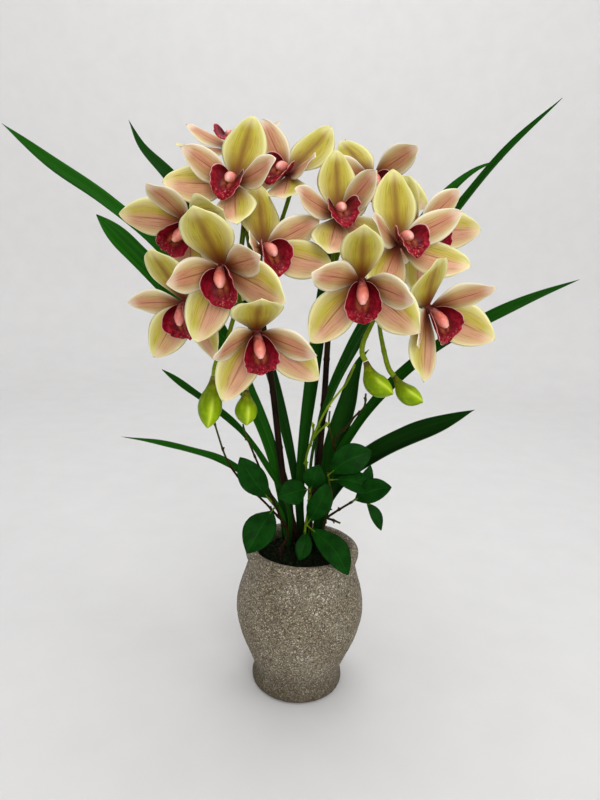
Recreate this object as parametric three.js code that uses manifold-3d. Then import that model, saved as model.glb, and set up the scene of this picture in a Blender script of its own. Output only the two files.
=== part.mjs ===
// A potted cymbidium orchid: two arching flower spikes, strap leaves and three sprigs of
// glossy filler foliage, planted in moss in an urn cast in coarse grey cement.
// Millimetres, +Z up. The origin is the middle of the pot's flat foot, and -Y is the front.
import * as THREE from "three";
import { mergeVertices } from "three/addons/utils/BufferGeometryUtils.js";
import Module from "manifold-3d";

const wasm = await Module();
wasm.setup();
const plant = new THREE.Group();

// ---- Driving dimensions ----------------------------------------------------------------
const GAP = 0.3; // running clearance left between two pieces that touch
const SOIL_TOP = 150; // the top of the moss, above the foot, where the stems come out
const ROOT_DEPTH = 20; // how far each stem is pushed down into the moss
const PEG_RADIUS = 2.4; // the round foot of each leaf and stem
const POT_SIDES = 32;
const TEPAL_THICKNESS = 0.9;
const LEAF_THICKNESS = 1.0;

const V = (x, y, z) => new THREE.Vector3(x, y, z);
const degrees = THREE.MathUtils.degToRad;

// ---- Materials -------------------------------------------------------------------------
const finish = (color, roughness) => new THREE.MeshStandardMaterial({ color, roughness, metalness: 0 });
const cement = finish("#857c6b", 0.95);
const moss = finish("#1c2410", 1.0);
const strapGreen = finish("#1b5416", 0.5);
const sprigGreen = finish("#125214", 0.4);
const stalkGreen = finish("#3c4a1a", 0.55);
const tepalCream = finish("#c8a86a", 0.6);
const lipRed = finish("#8f1d2c", 0.5);
const budGreen = finish("#7fa410", 0.45);

// ---- Solids ----------------------------------------------------------------------------
// A closed body from its corners and triangles, turned face out whichever way they wind.
function solidFrom(corners, triangles) {
  const sixfoldVolume = triangles.reduce(
    (sum, [a, b, c]) => sum + corners[a].dot(corners[b].clone().cross(corners[c])),
    0,
  );
  const facing = sixfoldVolume < 0 ? triangles.map(([a, b, c]) => [a, c, b]) : triangles;
  return new wasm.Manifold(
    new wasm.Mesh({
      numProp: 3,
      vertProperties: new Float32Array(corners.flatMap((p) => p.toArray())),
      triVerts: new Uint32Array(facing.flat()),
    }),
  );
}

function solidOf(geometry) {
  const bare = geometry.clone().deleteAttribute("normal").deleteAttribute("uv");
  const merged = mergeVertices(bare, 1e-3);
  return new wasm.Manifold(
    new wasm.Mesh({
      numProp: 3,
      vertProperties: merged.attributes.position.array,
      triVerts: new Uint32Array(merged.index.array),
    }),
  );
}

function fuse(solids) {
  return solids.reduce((whole, next) => whole.add(next));
}

// One named node of the plant, from a solid in its parent's own frame.
function addPiece(name, solid, material, parent = plant) {
  const mesh = solid.getMesh();
  const geometry = new THREE.BufferGeometry();
  geometry.setAttribute("position", new THREE.BufferAttribute(mesh.vertProperties, 3));
  geometry.setIndex(new THREE.BufferAttribute(mesh.triVerts, 1));
  geometry.computeVertexNormals();
  const piece = new THREE.Mesh(geometry, material);
  piece.name = name;
  parent.add(piece);
  return piece;
}

// A thin blade: surface(t, s) gives the point and the normal at t along it, 0 to 1, and s
// across it, -1 to 1. Both faces are split into triangles alike.
function blade(surface, stations, columns, thickness) {
  const corners = [];
  for (const side of [0.5, -0.5])
    for (const t of stations)
      for (let j = 0; j <= columns; j++) {
        const { point, normal } = surface(t, -1 + (2 * j) / columns);
        corners.push(point.clone().addScaledVector(normal, side * thickness));
      }
  const rows = stations.length;
  const across = columns + 1;
  const at = (face, i, j) => (face * rows + i) * across + j;
  const triangles = [];
  for (let i = 0; i < rows - 1; i++)
    for (let j = 0; j < columns; j++) {
      const slant = j < columns / 2;
      for (const face of [0, 1]) {
        const [a, b] = [at(face, i, j), at(face, i + 1, j)];
        const [c, d] = [at(face, i + 1, j + 1), at(face, i, j + 1)];
        const pair = slant ? [[a, b, c], [a, c, d]] : [[a, b, d], [b, c, d]];
        triangles.push(...(face === 0 ? pair : pair.map(([p, q, r]) => [p, r, q])));
      }
    }
  const rim = [];
  for (let j = 0; j < columns; j++) rim.push([0, j]);
  for (let i = 0; i < rows - 1; i++) rim.push([i, columns]);
  for (let j = columns; j > 0; j--) rim.push([rows - 1, j]);
  for (let i = rows - 1; i > 0; i--) rim.push([i, 0]);
  rim.forEach(([i, j], n) => {
    const [k, l] = rim[(n + 1) % rim.length];
    triangles.push([at(0, i, j), at(0, k, l), at(1, i, j)], [at(0, k, l), at(1, k, l), at(1, i, j)]);
  });
  return solidFrom(corners, triangles);
}

// A round stalk along a curve, its radius given at each place from 0 to 1, with flat ends.
function stalk(curve, steps, sides, radiusAt) {
  const frames = curve.computeFrenetFrames(steps, false);
  const corners = [];
  for (let i = 0; i <= steps; i++) {
    const centre = curve.getPointAt(i / steps);
    for (let k = 0; k < sides; k++) {
      const angle = (2 * Math.PI * k) / sides;
      corners.push(
        centre
          .clone()
          .addScaledVector(frames.normals[i], radiusAt(i / steps) * Math.cos(angle))
          .addScaledVector(frames.binormals[i], radiusAt(i / steps) * Math.sin(angle)),
      );
    }
  }
  const triangles = [];
  for (let i = 0; i < steps; i++)
    for (let k = 0; k < sides; k++) {
      const [a, b] = [i * sides + k, i * sides + ((k + 1) % sides)];
      triangles.push([a, b, b + sides], [a, b + sides, a + sides]);
    }
  const last = steps * sides;
  for (let k = 1; k < sides - 1; k++) triangles.push([0, k + 1, k], [last, last + k, last + k + 1]);
  return solidFrom(corners, triangles);
}

function curveThrough(points) {
  return new THREE.CatmullRomCurve3(points.map((p) => V(...p)), false, "centripetal");
}
const evenly = (count) => Array.from({ length: count + 1 }, (_, i) => i / count);

// ---- Pot: an urn with a short flared foot, a round belly and a thick rolled lip ---------
const potOutside = [
  [42, 0], [45.8, 2.5], [46.2, 8], [44.2, 16], [45.2, 22], [51.5, 38], [59, 57], [63.5, 75], [64.3, 89],
  [61.5, 105], [56.5, 121], [54, 133], [56.4, 142], [56.4, 147], [53, 150],
];
const potInside = [[49, 150], [45.5, 146], [44.8, 137], [53, 92], [49, 60], [40, 38], [30, 14]];
function lathed(profile, sides) {
  const points = profile.map(([r, z]) => new THREE.Vector2(r, z));
  return solidOf(new THREE.LatheGeometry(points, sides).rotateX(Math.PI / 2));
}
const pot = lathed([[0, 0], ...potOutside, ...potInside, [0, 14]], POT_SIDES);
addPiece("pot", pot, cement);

// ---- Moss and soil: fills the pot and mounds up round the stems --------------------------
const SOIL_EDGE = 136;
const soilWall = potInside
  .filter(([, z]) => z < SOIL_EDGE)
  .reverse()
  .map(([r, z]) => [r - GAP * 2, z + GAP]);
const soilMound = [[44.2, SOIL_EDGE], [33, 143], [22, SOIL_TOP - 1], [0, SOIL_TOP]];
let soil = lathed([[0, 14 + GAP], ...soilWall, ...soilMound], POT_SIDES);

// Every stem stands in a plain hole in the moss. rootPeg makes its foot, and opens the hole.
const PEG_PROUD = 4; // how far the foot stands out of the moss, inside the blade or cane
const PEG_SIDES = 6;
function rootPeg([x, y], radius = PEG_RADIUS) {
  const peg = (r, length, low) =>
    solidOf(
      new THREE.CylinderGeometry(r, r, length, PEG_SIDES)
        .rotateX(Math.PI / 2)
        .translate(x, y, low + length / 2),
    );
  const bottom = SOIL_TOP - ROOT_DEPTH;
  const length = ROOT_DEPTH + PEG_PROUD;
  soil = soil.subtract(peg(radius + GAP + 0.1, length + 10, bottom - GAP));
  return peg(radius, length, bottom);
}

// ---- Strap leaves: long keeled blades, each from its own foot in the moss ----------------
// root is the foot on the moss, then come points along the keel; face is the way the upper
// side looks, and fold how deep the keel is pressed, as a share of the half width. A leaf that
// twists looks the way of tipFace at its tip. widest is where along it a blunt leaf is widest.
const strapLeaves = [
  { name: "leaf_left_long", root: [-10, 13], width: 15, widest: 0.85, face: [0.35, -0.8, 0.5], fold: 0.3,
    keel: [
      [-18, 15, 202], [-46, 26, 270], [-89, 38, 356], [-147, 46, 431], [-204, 46, 477],
      [-252, 36, 508], [-289, 22, 538],
    ] },
  { name: "leaf_left_upper", root: [-3, 17], width: 18, widest: 0.8, face: [0.5, -0.7, 0.5], fold: 0.4,
    keel: [
      [-9, 19, 202], [-23, 28, 261], [-48, 42, 337], [-94, 58, 425], [-144, 70, 499], [-176, 74, 532],
      [-189, 76, 557],
    ] },
  { name: "leaf_left_broad", root: [-17, 8], width: 20, widest: 0.9, face: [0.2, -0.9, 0.35], fold: 0.2,
    keel: [
      [-24, 10, 204], [-43, 15, 264], [-78, 20, 329], [-117, 22, 375], [-155, 18, 415],
      [-181, 13, 441], [-201, 9, 461],
    ] },
  { name: "leaf_left_low", root: [-12, -3], width: 10, widest: 0.85, face: [0.35, -0.45, 0.8], fold: 0.3,
    keel: [
      [-16, -2, 190], [-37, -5, 230], [-62, -12, 267], [-87, -20, 291], [-113, -26, 311],
      [-133, -30, 327],
    ] },
  { name: "leaf_left_lowest", root: [-14, -11], width: 10, face: [0.2, -0.4, 0.9], fold: 0.35,
    keel: [
      [-24, -10, 188], [-54, -9, 220], [-81, -10, 237], [-111, -13, 247], [-143, -17, 255],
      [-174, -20, 260],
    ] },
  { name: "leaf_centre", root: [1, 10], width: 15, face: [-0.3, -0.95, 0.1], fold: 0.25,
    keel: [
      [-4, 12, 193], [-3, 18, 244], [3, 31, 313], [10, 46, 381], [18, 62, 450], [23, 74, 508],
      [26, 80, 548],
    ] },
  { name: "leaf_right_long", root: [7, -7], width: 15, widest: 0.7, face: [-0.95, -0.05, 0.3],
    tipFace: [-0.5, -0.6, 0.6], fold: 0.45,
    keel: [
      [6, -6, 240], [14, -6, 282], [30, 2, 325], [51, 20, 365], [91, 42, 419], [131, 30, 478],
      [164, 0, 529], [198, -20, 567],
    ] },
  { name: "leaf_right_broad", root: [8, 16], width: 18, face: [-0.85, -0.1, 0.5],
    tipFace: [-0.1, -0.95, 0.25], fold: 0.25,
    keel: [
      [12, 24, 215], [16, 28, 274], [26, 32, 307], [44, 42, 346], [55, 48, 367], [90, 54, 442],
      [127, 62, 498], [154, 62, 522], [178, 60, 532],
    ] },
  { name: "leaf_right_short", root: [14, 9], width: 20, face: [-0.1, -0.95, 0.25], fold: 0.15,
    keel: [
      [21, 10, 215], [27, 12, 250], [38, 14, 294], [43, 15, 320], [49, 16, 338], [56, 16, 347],
    ] },
  { name: "leaf_right_low", root: [16, 0], width: 14, widest: 0.8, face: [-0.35, -0.75, 0.5],
    tipFace: [-0.45, -0.5, 0.75], fold: 0.45,
    keel: [
      [22, 0, 217], [47, 0, 273], [80, -8, 321], [116, -18, 357], [154, -32, 384], [186, -45, 404],
      [215, -60, 421],
    ] },
  { name: "leaf_right_lowest", root: [14, -9], width: 19, widest: 0.7, face: [-0.3, -0.8, 0.5], fold: 0.2,
    keel: [
      [18, -9, 191], [37, -14, 229], [63, -24, 256], [90, -40, 278], [117, -57, 296], [138, -70, 311],
    ] },
];
const LEAF_STATIONS = [0, 0.12, 0.26, 0.4, 0.54, 0.68, 0.82, 0.93, 1];
const NECK_SHARE = 0.36; // how narrow a strap leaf is where it leaves the moss

function strapWidth(t, widest) {
  if (t < widest) return NECK_SHARE + (1 - NECK_SHARE) * Math.sin((Math.PI / 2) * (t / widest));
  return Math.max(1 - ((t - widest) / (1 - widest)) ** 2.2, 0.05);
}

function keeledSurface(curve, halfWidthAt, face, fold, tipFace = face) {
  return (t, s) => {
    const look = V(...face).lerp(V(...tipFace), t).normalize();
    const along = curve.getTangentAt(t);
    const side = along.clone().cross(look).normalize();
    const up = side.clone().cross(along).normalize();
    const half = halfWidthAt(t);
    const point = curve
      .getPointAt(t)
      .addScaledVector(side, s * half)
      .addScaledVector(up, Math.abs(s) * half * fold);
    return { point, normal: up };
  };
}

for (const { name, root, width, widest = 0.55, face, tipFace, fold, keel } of strapLeaves) {
  const curve = curveThrough([[...root, SOIL_TOP + 1], ...keel]);
  const halfWidth = (t) => (width / 2) * strapWidth(t, widest);
  const surface = keeledSurface(curve, halfWidth, face, fold, tipFace);
  addPiece(name, fuse([blade(surface, LEAF_STATIONS, 2, LEAF_THICKNESS), rootPeg(root)]), strapGreen);
}

// ---- Blooms: five tepals, then a lip with the column lying over it ------------------------
// In a bloom's own frame +Y runs to the tip of the dorsal sepal and +Z the way it faces.
const TEPALS = {
  dorsal: { turn: 0, length: 60, width: 40, base: -0.6, cup: -0.16 },
  petalLeft: { turn: -80, length: 52, width: 27, base: 0.4, cup: -0.1 },
  petalRight: { turn: 80, length: 52, width: 27, base: 0.4, cup: -0.1 },
  sepalLeft: { turn: -132, length: 58, width: 36, base: -0.6, cup: -0.12 },
  sepalRight: { turn: 132, length: 58, width: 36, base: -0.6, cup: -0.12 },
};
const TEPAL_STATIONS = [0, 0.24, 0.5, 0.8, 1];
const TEPAL_START = 3; // tepals begin this far from the bloom's axis
const TEPAL_CURL = 10; // degrees that a tepal curls forward from its base to its tip
const TEPAL_NECK = 0.13;
const TEPAL_WIDEST = 0.5;

function tepalWidth(t) {
  if (t < TEPAL_WIDEST) return TEPAL_NECK + (1 - TEPAL_NECK) * Math.sin((Math.PI / 2) * (t / TEPAL_WIDEST));
  const beyond = (t - TEPAL_WIDEST) / (1 - TEPAL_WIDEST);
  return Math.max(Math.cos((Math.PI / 2) * beyond) ** 0.75, 0.07);
}

// The midrib rises from the bloom's plane at rise degrees, and curls on by curl degrees.
function tepalSurface({ turn, length, width, base, cup }, rise, curl = TEPAL_CURL) {
  const [out, across, front] = [
    V(Math.sin(degrees(turn)), Math.cos(degrees(turn)), 0),
    V(Math.cos(degrees(turn)), -Math.sin(degrees(turn)), 0),
    V(0, 0, 1),
  ];
  return (t, s) => {
    const [low, high] = [degrees(rise), degrees(rise + curl * t)];
    const bow = degrees(curl);
    const reach = (length / bow) * (Math.sin(high) - Math.sin(low));
    const lift = (length / bow) * (Math.cos(low) - Math.cos(high));
    const normal = front.clone().multiplyScalar(Math.cos(high)).addScaledVector(out, -Math.sin(high));
    const half = (width / 2) * tepalWidth(t);
    const point = out
      .clone()
      .multiplyScalar(TEPAL_START + reach)
      .addScaledVector(front, lift + base)
      .addScaledVector(across, s * half)
      .addScaledVector(normal, half * cup * Math.abs(s) ** 1.5);
    return { point, normal };
  };
}

// The lip is a scoop: it leaves the column's foot, runs forward and bends down to its tip.
const LIP_LENGTH = 29.5;
const LIP_STATIONS = evenly(3);
const LIP_COLUMNS = 5;
const LIP_LEAN = { start: 22, sweep: 80 }; // degrees off the way the bloom faces
const LIP_FOOT = [-1.5, 4];
const LIP_RADIUS = { foot: 3.5, flare: 10.4 };
const LIP_WRAP = { foot: 112, tip: 28 }; // degrees each side that it curls up round the column
function lipSurface(t, s) {
  const STEPS = 24;
  let [y, z] = LIP_FOOT;
  for (let i = 0; i < STEPS; i++) {
    const angle = degrees(LIP_LEAN.start + (LIP_LEAN.sweep * t * (i + 0.5)) / STEPS);
    y -= (Math.sin(angle) * LIP_LENGTH * t) / STEPS;
    z += (Math.cos(angle) * LIP_LENGTH * t) / STEPS;
  }
  const lean = degrees(LIP_LEAN.start + LIP_LEAN.sweep * t);
  const radius = LIP_RADIUS.foot + LIP_RADIUS.flare * Math.sin((Math.PI / 2) * Math.min(t * 1.6, 1));
  const wrap = degrees(LIP_WRAP.foot + (LIP_WRAP.tip - LIP_WRAP.foot) * t ** 1.6);
  const inward = V(0, Math.cos(lean), Math.sin(lean));
  const sideways = V(1, 0, 0);
  const point = V(0, y, z)
    .addScaledVector(sideways, radius * Math.sin(s * wrap))
    .addScaledVector(inward, radius * (1 - Math.cos(s * wrap)));
  const normal = inward
    .clone()
    .multiplyScalar(Math.cos(s * wrap))
    .addScaledVector(sideways, -Math.sin(s * wrap));
  return { point, normal };
}

function lipAndColumn(lift = 0) {
  const scoop = blade(lipSurface, LIP_STATIONS, LIP_COLUMNS, TEPAL_THICKNESS);
  const columnLine = curveThrough([[0, 0, 1], [0, 0, 5], [0, -3, 12], [0, -8.5, 18.5]]);
  const column = stalk(columnLine, 4, 5, (t) => [2, 3.4, 4.4, 4.8, 2.4][Math.round(t * 4)]);
  return scoop.add(column).rotate([-lift, 0, 0]);
}

// at is the bloom's middle. It faces yaw degrees right of the front and pitch degrees up,
// and roll leans the dorsal sepal clockwise. rise lists how far forward the dorsal, petals
// and sepals are bent, left before right, and turn how far each is pushed round. joins is
// the place along its spike, 0 to 1, that its stalk springs from, and via a point it passes.
// dorsal is the dorsal sepal's width where that one is narrower than most, and lift is how far
// further up than its bloom a lip looks.
const bloomsLeft = [
  { at: [-86, 80, 535], yaw: -10, pitch: 62, roll: 0, joins: 0.5,
    rise: [-15, 17, 22, 12, 12], turn: [0, 4, 0, 0, 0] },
  { at: [-72, -20, 490], yaw: -6, pitch: 18, roll: 12, joins: 0.6, lift: 7,
    rise: [-6, 45, 40, 17, 30], turn: [-2, -7, -6, 19, 22] },
  { at: [-28, 20.5, 505.5], yaw: -13, pitch: 29, roll: 26, joins: 0.55,
    rise: [-7, 16, 45, 12, 30], turn: [5, 22, 8, 0, 10] },
  { at: [-110, -28, 454], yaw: -14, pitch: -32, roll: 52, joins: 0.7,
    rise: [26, 24, 22, 3, 12], turn: [8, 11, 0, 0, 0] },
  { at: [-44, -46.5, 436], yaw: 29, pitch: 11, roll: -6, joins: 0.75,
    rise: [-23, 52, 12, -8, 34], turn: [13, -17, -11, 0, -12] },
  { at: [-72, -89, 418], yaw: -8, pitch: -15, roll: -20, joins: 0.9, via: [[-58, -66, 384]],
    rise: [31, 57, 37, 21, 21], turn: [10, 10, 3, -9, -5] },
  { at: [-112, -33, 387], yaw: -20, pitch: -33, roll: -8, joins: 0.88,
    rise: [10, 3, 22, 24, 30], turn: [4, -1, 0, -3, 7] },
  { at: [-44, -91, 369], yaw: 13, pitch: -27, roll: -9, joins: 0.93,
    rise: [32, 45, 40, 17, 26], turn: [2, 8, 11, -12, -7] },
];
const bloomsRight = [
  { at: [18, -21, 467], yaw: 5, pitch: 26, roll: -9, joins: 0.55, dorsal: 35, lift: 10,
    rise: [-2, 40, 58, 26, 20], turn: [8, -2, -10, -25, 10] },
  { at: [51, 38, 507], yaw: 6, pitch: 4, roll: -4, joins: 0.5, dorsal: 32,
    rise: [-44, 22, 45, 12, 20], turn: [-28, 0, -18, 0, -8] },
  { at: [67, -54, 444], yaw: 16, pitch: 27, roll: -7, joins: 0.7, lift: 10,
    rise: [6, 43, 27, 6, 15], turn: [6, -6, -2, -12, -6] },
  { at: [35, -92, 412], yaw: 0, pitch: -20, roll: -3, joins: 0.8, dorsal: 32,
    rise: [29, 36, 49, 12, 33], turn: [-3, 17, 7, -6, -10] },
  { at: [94, -63, 392], yaw: 34, pitch: -16, roll: -35, joins: 0.9,
    rise: [20, 38, 35, 26, 39], turn: [1, 3, 0, 0, 8] },
  { at: [93, 7, 457], yaw: 34, pitch: 1, roll: -41, joins: 0.62,
    rise: [16, 18, 10, 8, 22], turn: [-5, 0, 3, 0, -6] },
];

// The receptacle joins the tepals: the stalk butts against its back and the column its front.
const BACK = 5;
const FRONT = 0.7;
function bloomTurn({ yaw, pitch, roll }) {
  const about = (axis, angle) => new THREE.Quaternion().setFromAxisAngle(axis, degrees(angle));
  return about(V(0, 0, 1), yaw).multiply(about(V(1, 0, 0), 90 - pitch)).multiply(about(V(0, 0, 1), -roll));
}

function addBloom(name, bloom) {
  const frame = new THREE.Group();
  frame.position.set(...bloom.at);
  frame.quaternion.copy(bloomTurn(bloom));
  plant.add(frame);
  const tepals = Object.values(TEPALS).map((tepal, i) => {
    const width = i === 0 ? (bloom.dorsal ?? tepal.width) : tepal.width;
    const bent = { ...tepal, width, turn: tepal.turn + bloom.turn[i] };
    return blade(tepalSurface(bent, bloom.rise[i]), TEPAL_STATIONS, 2, TEPAL_THICKNESS);
  });
  const receptacle = solidOf(
    new THREE.CylinderGeometry(4.8, 2.4, BACK + FRONT, 7)
      .rotateX(Math.PI / 2)
      .translate(0, 0, (FRONT - BACK) / 2),
  );
  addPiece(name + "_tepals", fuse([receptacle, ...tepals]), tepalCream, frame);
  addPiece(name + "_lip", lipAndColumn(bloom.lift), lipRed, frame);
}
bloomsLeft.forEach((bloom, i) => addBloom("bloom_left_" + (i + 1), bloom));
bloomsRight.forEach((bloom, i) => addBloom("bloom_right_" + (i + 1), bloom));

// ---- Buds: fat green drops, each on its own stalk at the tip of a spike -----------------
// The stalk's last point is where the bud begins, and tip is where it ends. belly is how far its
// middle bulges to one side.
const budsLeft = [
  { joins: 1, stalk: [[-81, -47, 341], [-83.4, -50, 327]], tip: [-88, -54, 281],
    belly: [0, 0, 0], radius: 10.4 },
  { joins: 1, stalk: [[-63, -49, 333], [-55.3, -52, 316]], tip: [-54, -54, 285],
    belly: [0, 0, 0], radius: 9.6 },
];
const budsRight = [
  { joins: 0.98, stalk: [[49, -46, 374], [44, -48, 362], [46.5, -51, 345]], tip: [71, -58, 319],
    belly: [-4.1, 0, -3.6], radius: 9.4 },
  { joins: 1, stalk: [[59, -47, 365], [72, -51, 333]], tip: [97, -58, 313],
    belly: [-2.2, 0, -2.8], radius: 8.4 },
];
const BUD_GIRTH = [0.25, 0.36, 0.56, 0.8, 0.96, 1, 0.88, 0.58, 0.08]; // at even steps, neck to tip
const BUD_STEPS = BUD_GIRTH.length - 1;
const BUD_SIDES = 6;

function budLine({ stalk: line, tip, belly }) {
  const neck = V(...line[line.length - 1]);
  const middle = neck.clone().lerp(V(...tip), 0.5).add(V(...belly));
  return curveThrough([neck.toArray(), middle.toArray(), tip]);
}

function addBud(name, bud) {
  const girthAt = (t) => bud.radius * BUD_GIRTH[Math.round(t * BUD_STEPS)];
  addPiece(name, stalk(budLine(bud), BUD_STEPS, BUD_SIDES, girthAt), budGreen);
}
budsLeft.forEach((bud, i) => addBud("bud_left_" + (i + 1), bud));
budsRight.forEach((bud, i) => addBud("bud_right_" + (i + 1), bud));

// ---- Flower spikes: a dark cane that arches over and hangs, with a stalk to every bloom ---
const spikes = [
  { name: "spike_left", root: [-5, 3], blooms: bloomsLeft, buds: budsLeft,
    cane: [
      [-11, 3, 172], [-21, 4, 214], [-36, 7, 312], [-50, 8, 390], [-58, 5, 444], [-62, -5, 470],
      [-62, -22, 472], [-62, -34, 452], [-64, -40, 424], [-66, -42, 388], [-73, -44, 358],
    ] },
  { name: "spike_right", root: [5, 2], blooms: bloomsRight, buds: budsRight,
    cane: [
      [6, 2, 172], [12, 3, 232], [15, 7, 297], [16, 10, 365], [19, 10, 428], [30, 4, 458],
      [44, -10, 460], [54, -26, 450], [58, -34, 432], [58, -38, 405], [56, -42, 382],
    ] },
];
const CANE_RADIUS = 3.6;
const STALK_RADIUS = 1.6;
for (const { name, root, blooms, buds, cane } of spikes) {
  const curve = curveThrough([[...root, SOIL_TOP + 1], ...cane]);
  const parts = [rootPeg(root, 3), stalk(curve, 24, 6, (t) => CANE_RADIUS - 1.7 * t)];
  for (const bloom of blooms) {
    const facing = V(0, 0, 1).applyQuaternion(bloomTurn(bloom));
    const end = V(...bloom.at).addScaledVector(facing, -BACK - GAP);
    const start = curve.getPointAt(bloom.joins);
    const pull = Math.min(start.distanceTo(end) * 0.35, 12);
    const behind = end.clone().addScaledVector(facing, -pull);
    const stem = curveThrough([start.toArray(), ...(bloom.via ?? []), behind.toArray(), end.toArray()]);
    parts.push(stalk(stem, 4, 5, (t) => STALK_RADIUS + 0.6 * t));
  }
  for (const bud of buds) {
    const neck = V(...bud.stalk[bud.stalk.length - 1]);
    const axis = budLine(bud).getTangentAt(0);
    const lastStretch = [8, GAP * 2].map((back) => neck.clone().addScaledVector(axis, -back).toArray());
    const start = curve.getPointAt(bud.joins).toArray();
    const stem = curveThrough([start, ...bud.stalk.slice(0, -1), ...lastStretch]);
    parts.push(stalk(stem, 4, 5, (t) => STALK_RADIUS + 0.8 * t));
  }
  addPiece(name, fuse(parts), stalkGreen);
}

// ---- Filler sprigs: thin twigs with small rounded leaves, pushed in among the orchids ----
// The first twig stands in the moss and the others spring from it. A leaf runs from its
// place on a twig, over its middle, to its tip.
const sprigs = [
  { name: "sprig_left", root: [-21, -19],
    twigs: [
      [[-14.6, -19, 171], [-32.6, -22, 196], [-65.3, -26, 230], [-74.4, -30, 247], [-85.3, -34, 282]],
      [[-18, -20, 176], [-31, -22, 207], [-44.8, -28, 241.5], [-57, -34, 273.4], [-58.8, -36, 281]],
    ],
    leaves: [
      { line: [[-31, -22, 202], [-49.6, -34, 230], [-61, -36, 250]], width: 25, face: [0.2, -1, 0.2] },
      { line: [[-28, -21.5, 197], [-38, -44, 188], [-50.5, -58, 166]], width: 30, face: [-0.2, -0.9, 0.4] },
    ] },
  { name: "sprig_centre", root: [2, -20],
    twigs: [
      [[1.8, -22, 175], [3.7, -24, 196], [4.6, -28, 218], [-0.5, -34, 249], [4.1, -36, 269], [15.3, -38, 298],
        [31.6, -40, 323]],
    ],
    leaves: [
      { line: [[4.6, -28, 219], [-10, -42, 221], [-24, -50, 218]], width: 24, face: [0.1, -0.9, 0.4] },
      { line: [[4.6, -28, 217], [7.8, -41, 236], [11, -45, 249]], width: 21, face: [0, -1, 0.3] },
      { line: [[2.6, -23, 180], [14, -40, 210], [19, -45, 232]], width: 22, face: [0.1, -1, 0.3] },
      { line: [[2, -22, 177], [1.4, -34, 165], [-2.8, -40, 152]], width: 16, face: [-0.2, -1, 0.2] },
      { line: [[2, -22, 181], [29.2, -48, 168], [41.9, -64, 152]], width: 25, face: [0.1, -0.8, 0.6] },
    ] },
  { name: "sprig_right", root: [20, -18],
    twigs: [
      [[19, -21, 172], [21.2, -24, 189], [25.9, -26, 208], [22, -28, 227], [20.7, -28, 236]],
      [[21.2, -24, 189], [33.4, -32, 202], [43.6, -38, 212], [49, -40, 217], [56, -42, 216]],
      [[21.2, -24, 189], [27, -30, 190], [34, -36, 189.7]],
    ],
    leaves: [
      { line: [[20, -28, 233], [37, -38, 251.5], [59, -36, 261]], width: 29, face: [0, -1, 0.2] },
      { line: [[22, -28, 229], [42, -40, 233], [67, -42, 224]], width: 21, face: [0, -0.7, 0.8] },
      { line: [[43, -37.7, 211.5], [59.7, -50, 228], [76, -56, 234.7]], width: 22, face: [-0.2, -0.9, 0.6] },
      { line: [[54, -42, 216.5], [64, -48, 206], [70.5, -52, 191]], width: 11, face: [0.3, -1, 0.3] },
      { line: [[51, -40.5, 216.8], [56.5, -34, 236], [59.5, -31, 246]], width: 14, face: [0.4, -1, 0] },
    ] },
];
const TWIG_RADIUS = 1.3;
const SPRIG_STATIONS = [0, 0.16, 0.48, 0.8, 1];
function sprigLeafWidth(t) {
  if (t < 0.1) return 0.07;
  return Math.max(Math.sin(Math.PI * ((t - 0.1) / 0.9) ** 1.15) ** 0.8, 0.07);
}
for (const { name, root, twigs, leaves } of sprigs) {
  const parts = [rootPeg(root, 2)];
  twigs.forEach((twig, i) => {
    const line = curveThrough(i === 0 ? [[...root, SOIL_TOP + 1], ...twig] : twig);
    parts.push(stalk(line, i === 0 ? 11 : 6, 4, (t) => TWIG_RADIUS * (1 - 0.3 * t)));
  });
  for (const { line, width, face } of leaves) {
    const surface = keeledSurface(curveThrough(line), (t) => (width / 2) * sprigLeafWidth(t), face, 0.12);
    parts.push(blade(surface, SPRIG_STATIONS, 2, LEAF_THICKNESS));
  }
  addPiece(name, fuse(parts), sprigGreen);
}

addPiece("moss", soil, moss);

export default plant;
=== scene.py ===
# A potted cymbidium orchid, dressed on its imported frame: a cement urn, moss, strap leaves, two flower
# spikes with fourteen blooms and four buds, and three sprigs of filler foliage. Shapes are worked out
# in millimetres, as the plant was measured, and turned to metres when a mesh is made.
import math
import random

import bpy
import numpy as np
from mathutils import Matrix, Vector, noise


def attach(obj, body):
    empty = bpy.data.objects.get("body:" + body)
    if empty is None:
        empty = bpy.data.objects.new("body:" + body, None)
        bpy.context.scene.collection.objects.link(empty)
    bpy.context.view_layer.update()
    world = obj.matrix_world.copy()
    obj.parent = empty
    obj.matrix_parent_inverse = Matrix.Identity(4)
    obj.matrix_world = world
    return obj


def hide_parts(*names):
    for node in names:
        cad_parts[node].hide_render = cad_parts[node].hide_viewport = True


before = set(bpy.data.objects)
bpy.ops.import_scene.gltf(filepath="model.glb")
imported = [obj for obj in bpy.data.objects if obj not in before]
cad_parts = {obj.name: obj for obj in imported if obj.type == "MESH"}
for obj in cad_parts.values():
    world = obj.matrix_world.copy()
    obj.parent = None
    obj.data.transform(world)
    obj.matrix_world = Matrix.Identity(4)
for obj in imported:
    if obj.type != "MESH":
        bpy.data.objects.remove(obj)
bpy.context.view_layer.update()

# ---- Pot -------------------------------------------------------------------------------------------
# An urn with a short flared foot, a round belly and a thick rolled lip, cast in one piece from coarse
# grey cement and never painted. The mix leaves pale and dark grit in the face, and small air holes.
MM = 0.001
POT_OUTSIDE = [
    (42, 0), (45.8, 2.5), (46.2, 8), (44.2, 16), (45.2, 22), (51.5, 38), (59, 57), (63.5, 75), (64.3, 89),
    (61.5, 105), (56.5, 121), (54, 133), (56.4, 142), (56.4, 147), (53, 150),
]
POT_INSIDE = [(49, 150), (45.5, 146), (44.8, 137), (53, 92), (49, 60), (40, 38), (30, 14)]
POT_SIDES = 300
POT_RING_STEP = 1.3
GRIT_DEPTH = 0.22
AIR_HOLES = 230
POT_LIP = [(52.2, 0, 150.3), (50.9, 0, 150.5), (49.8, 0, 150.35)]
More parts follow.
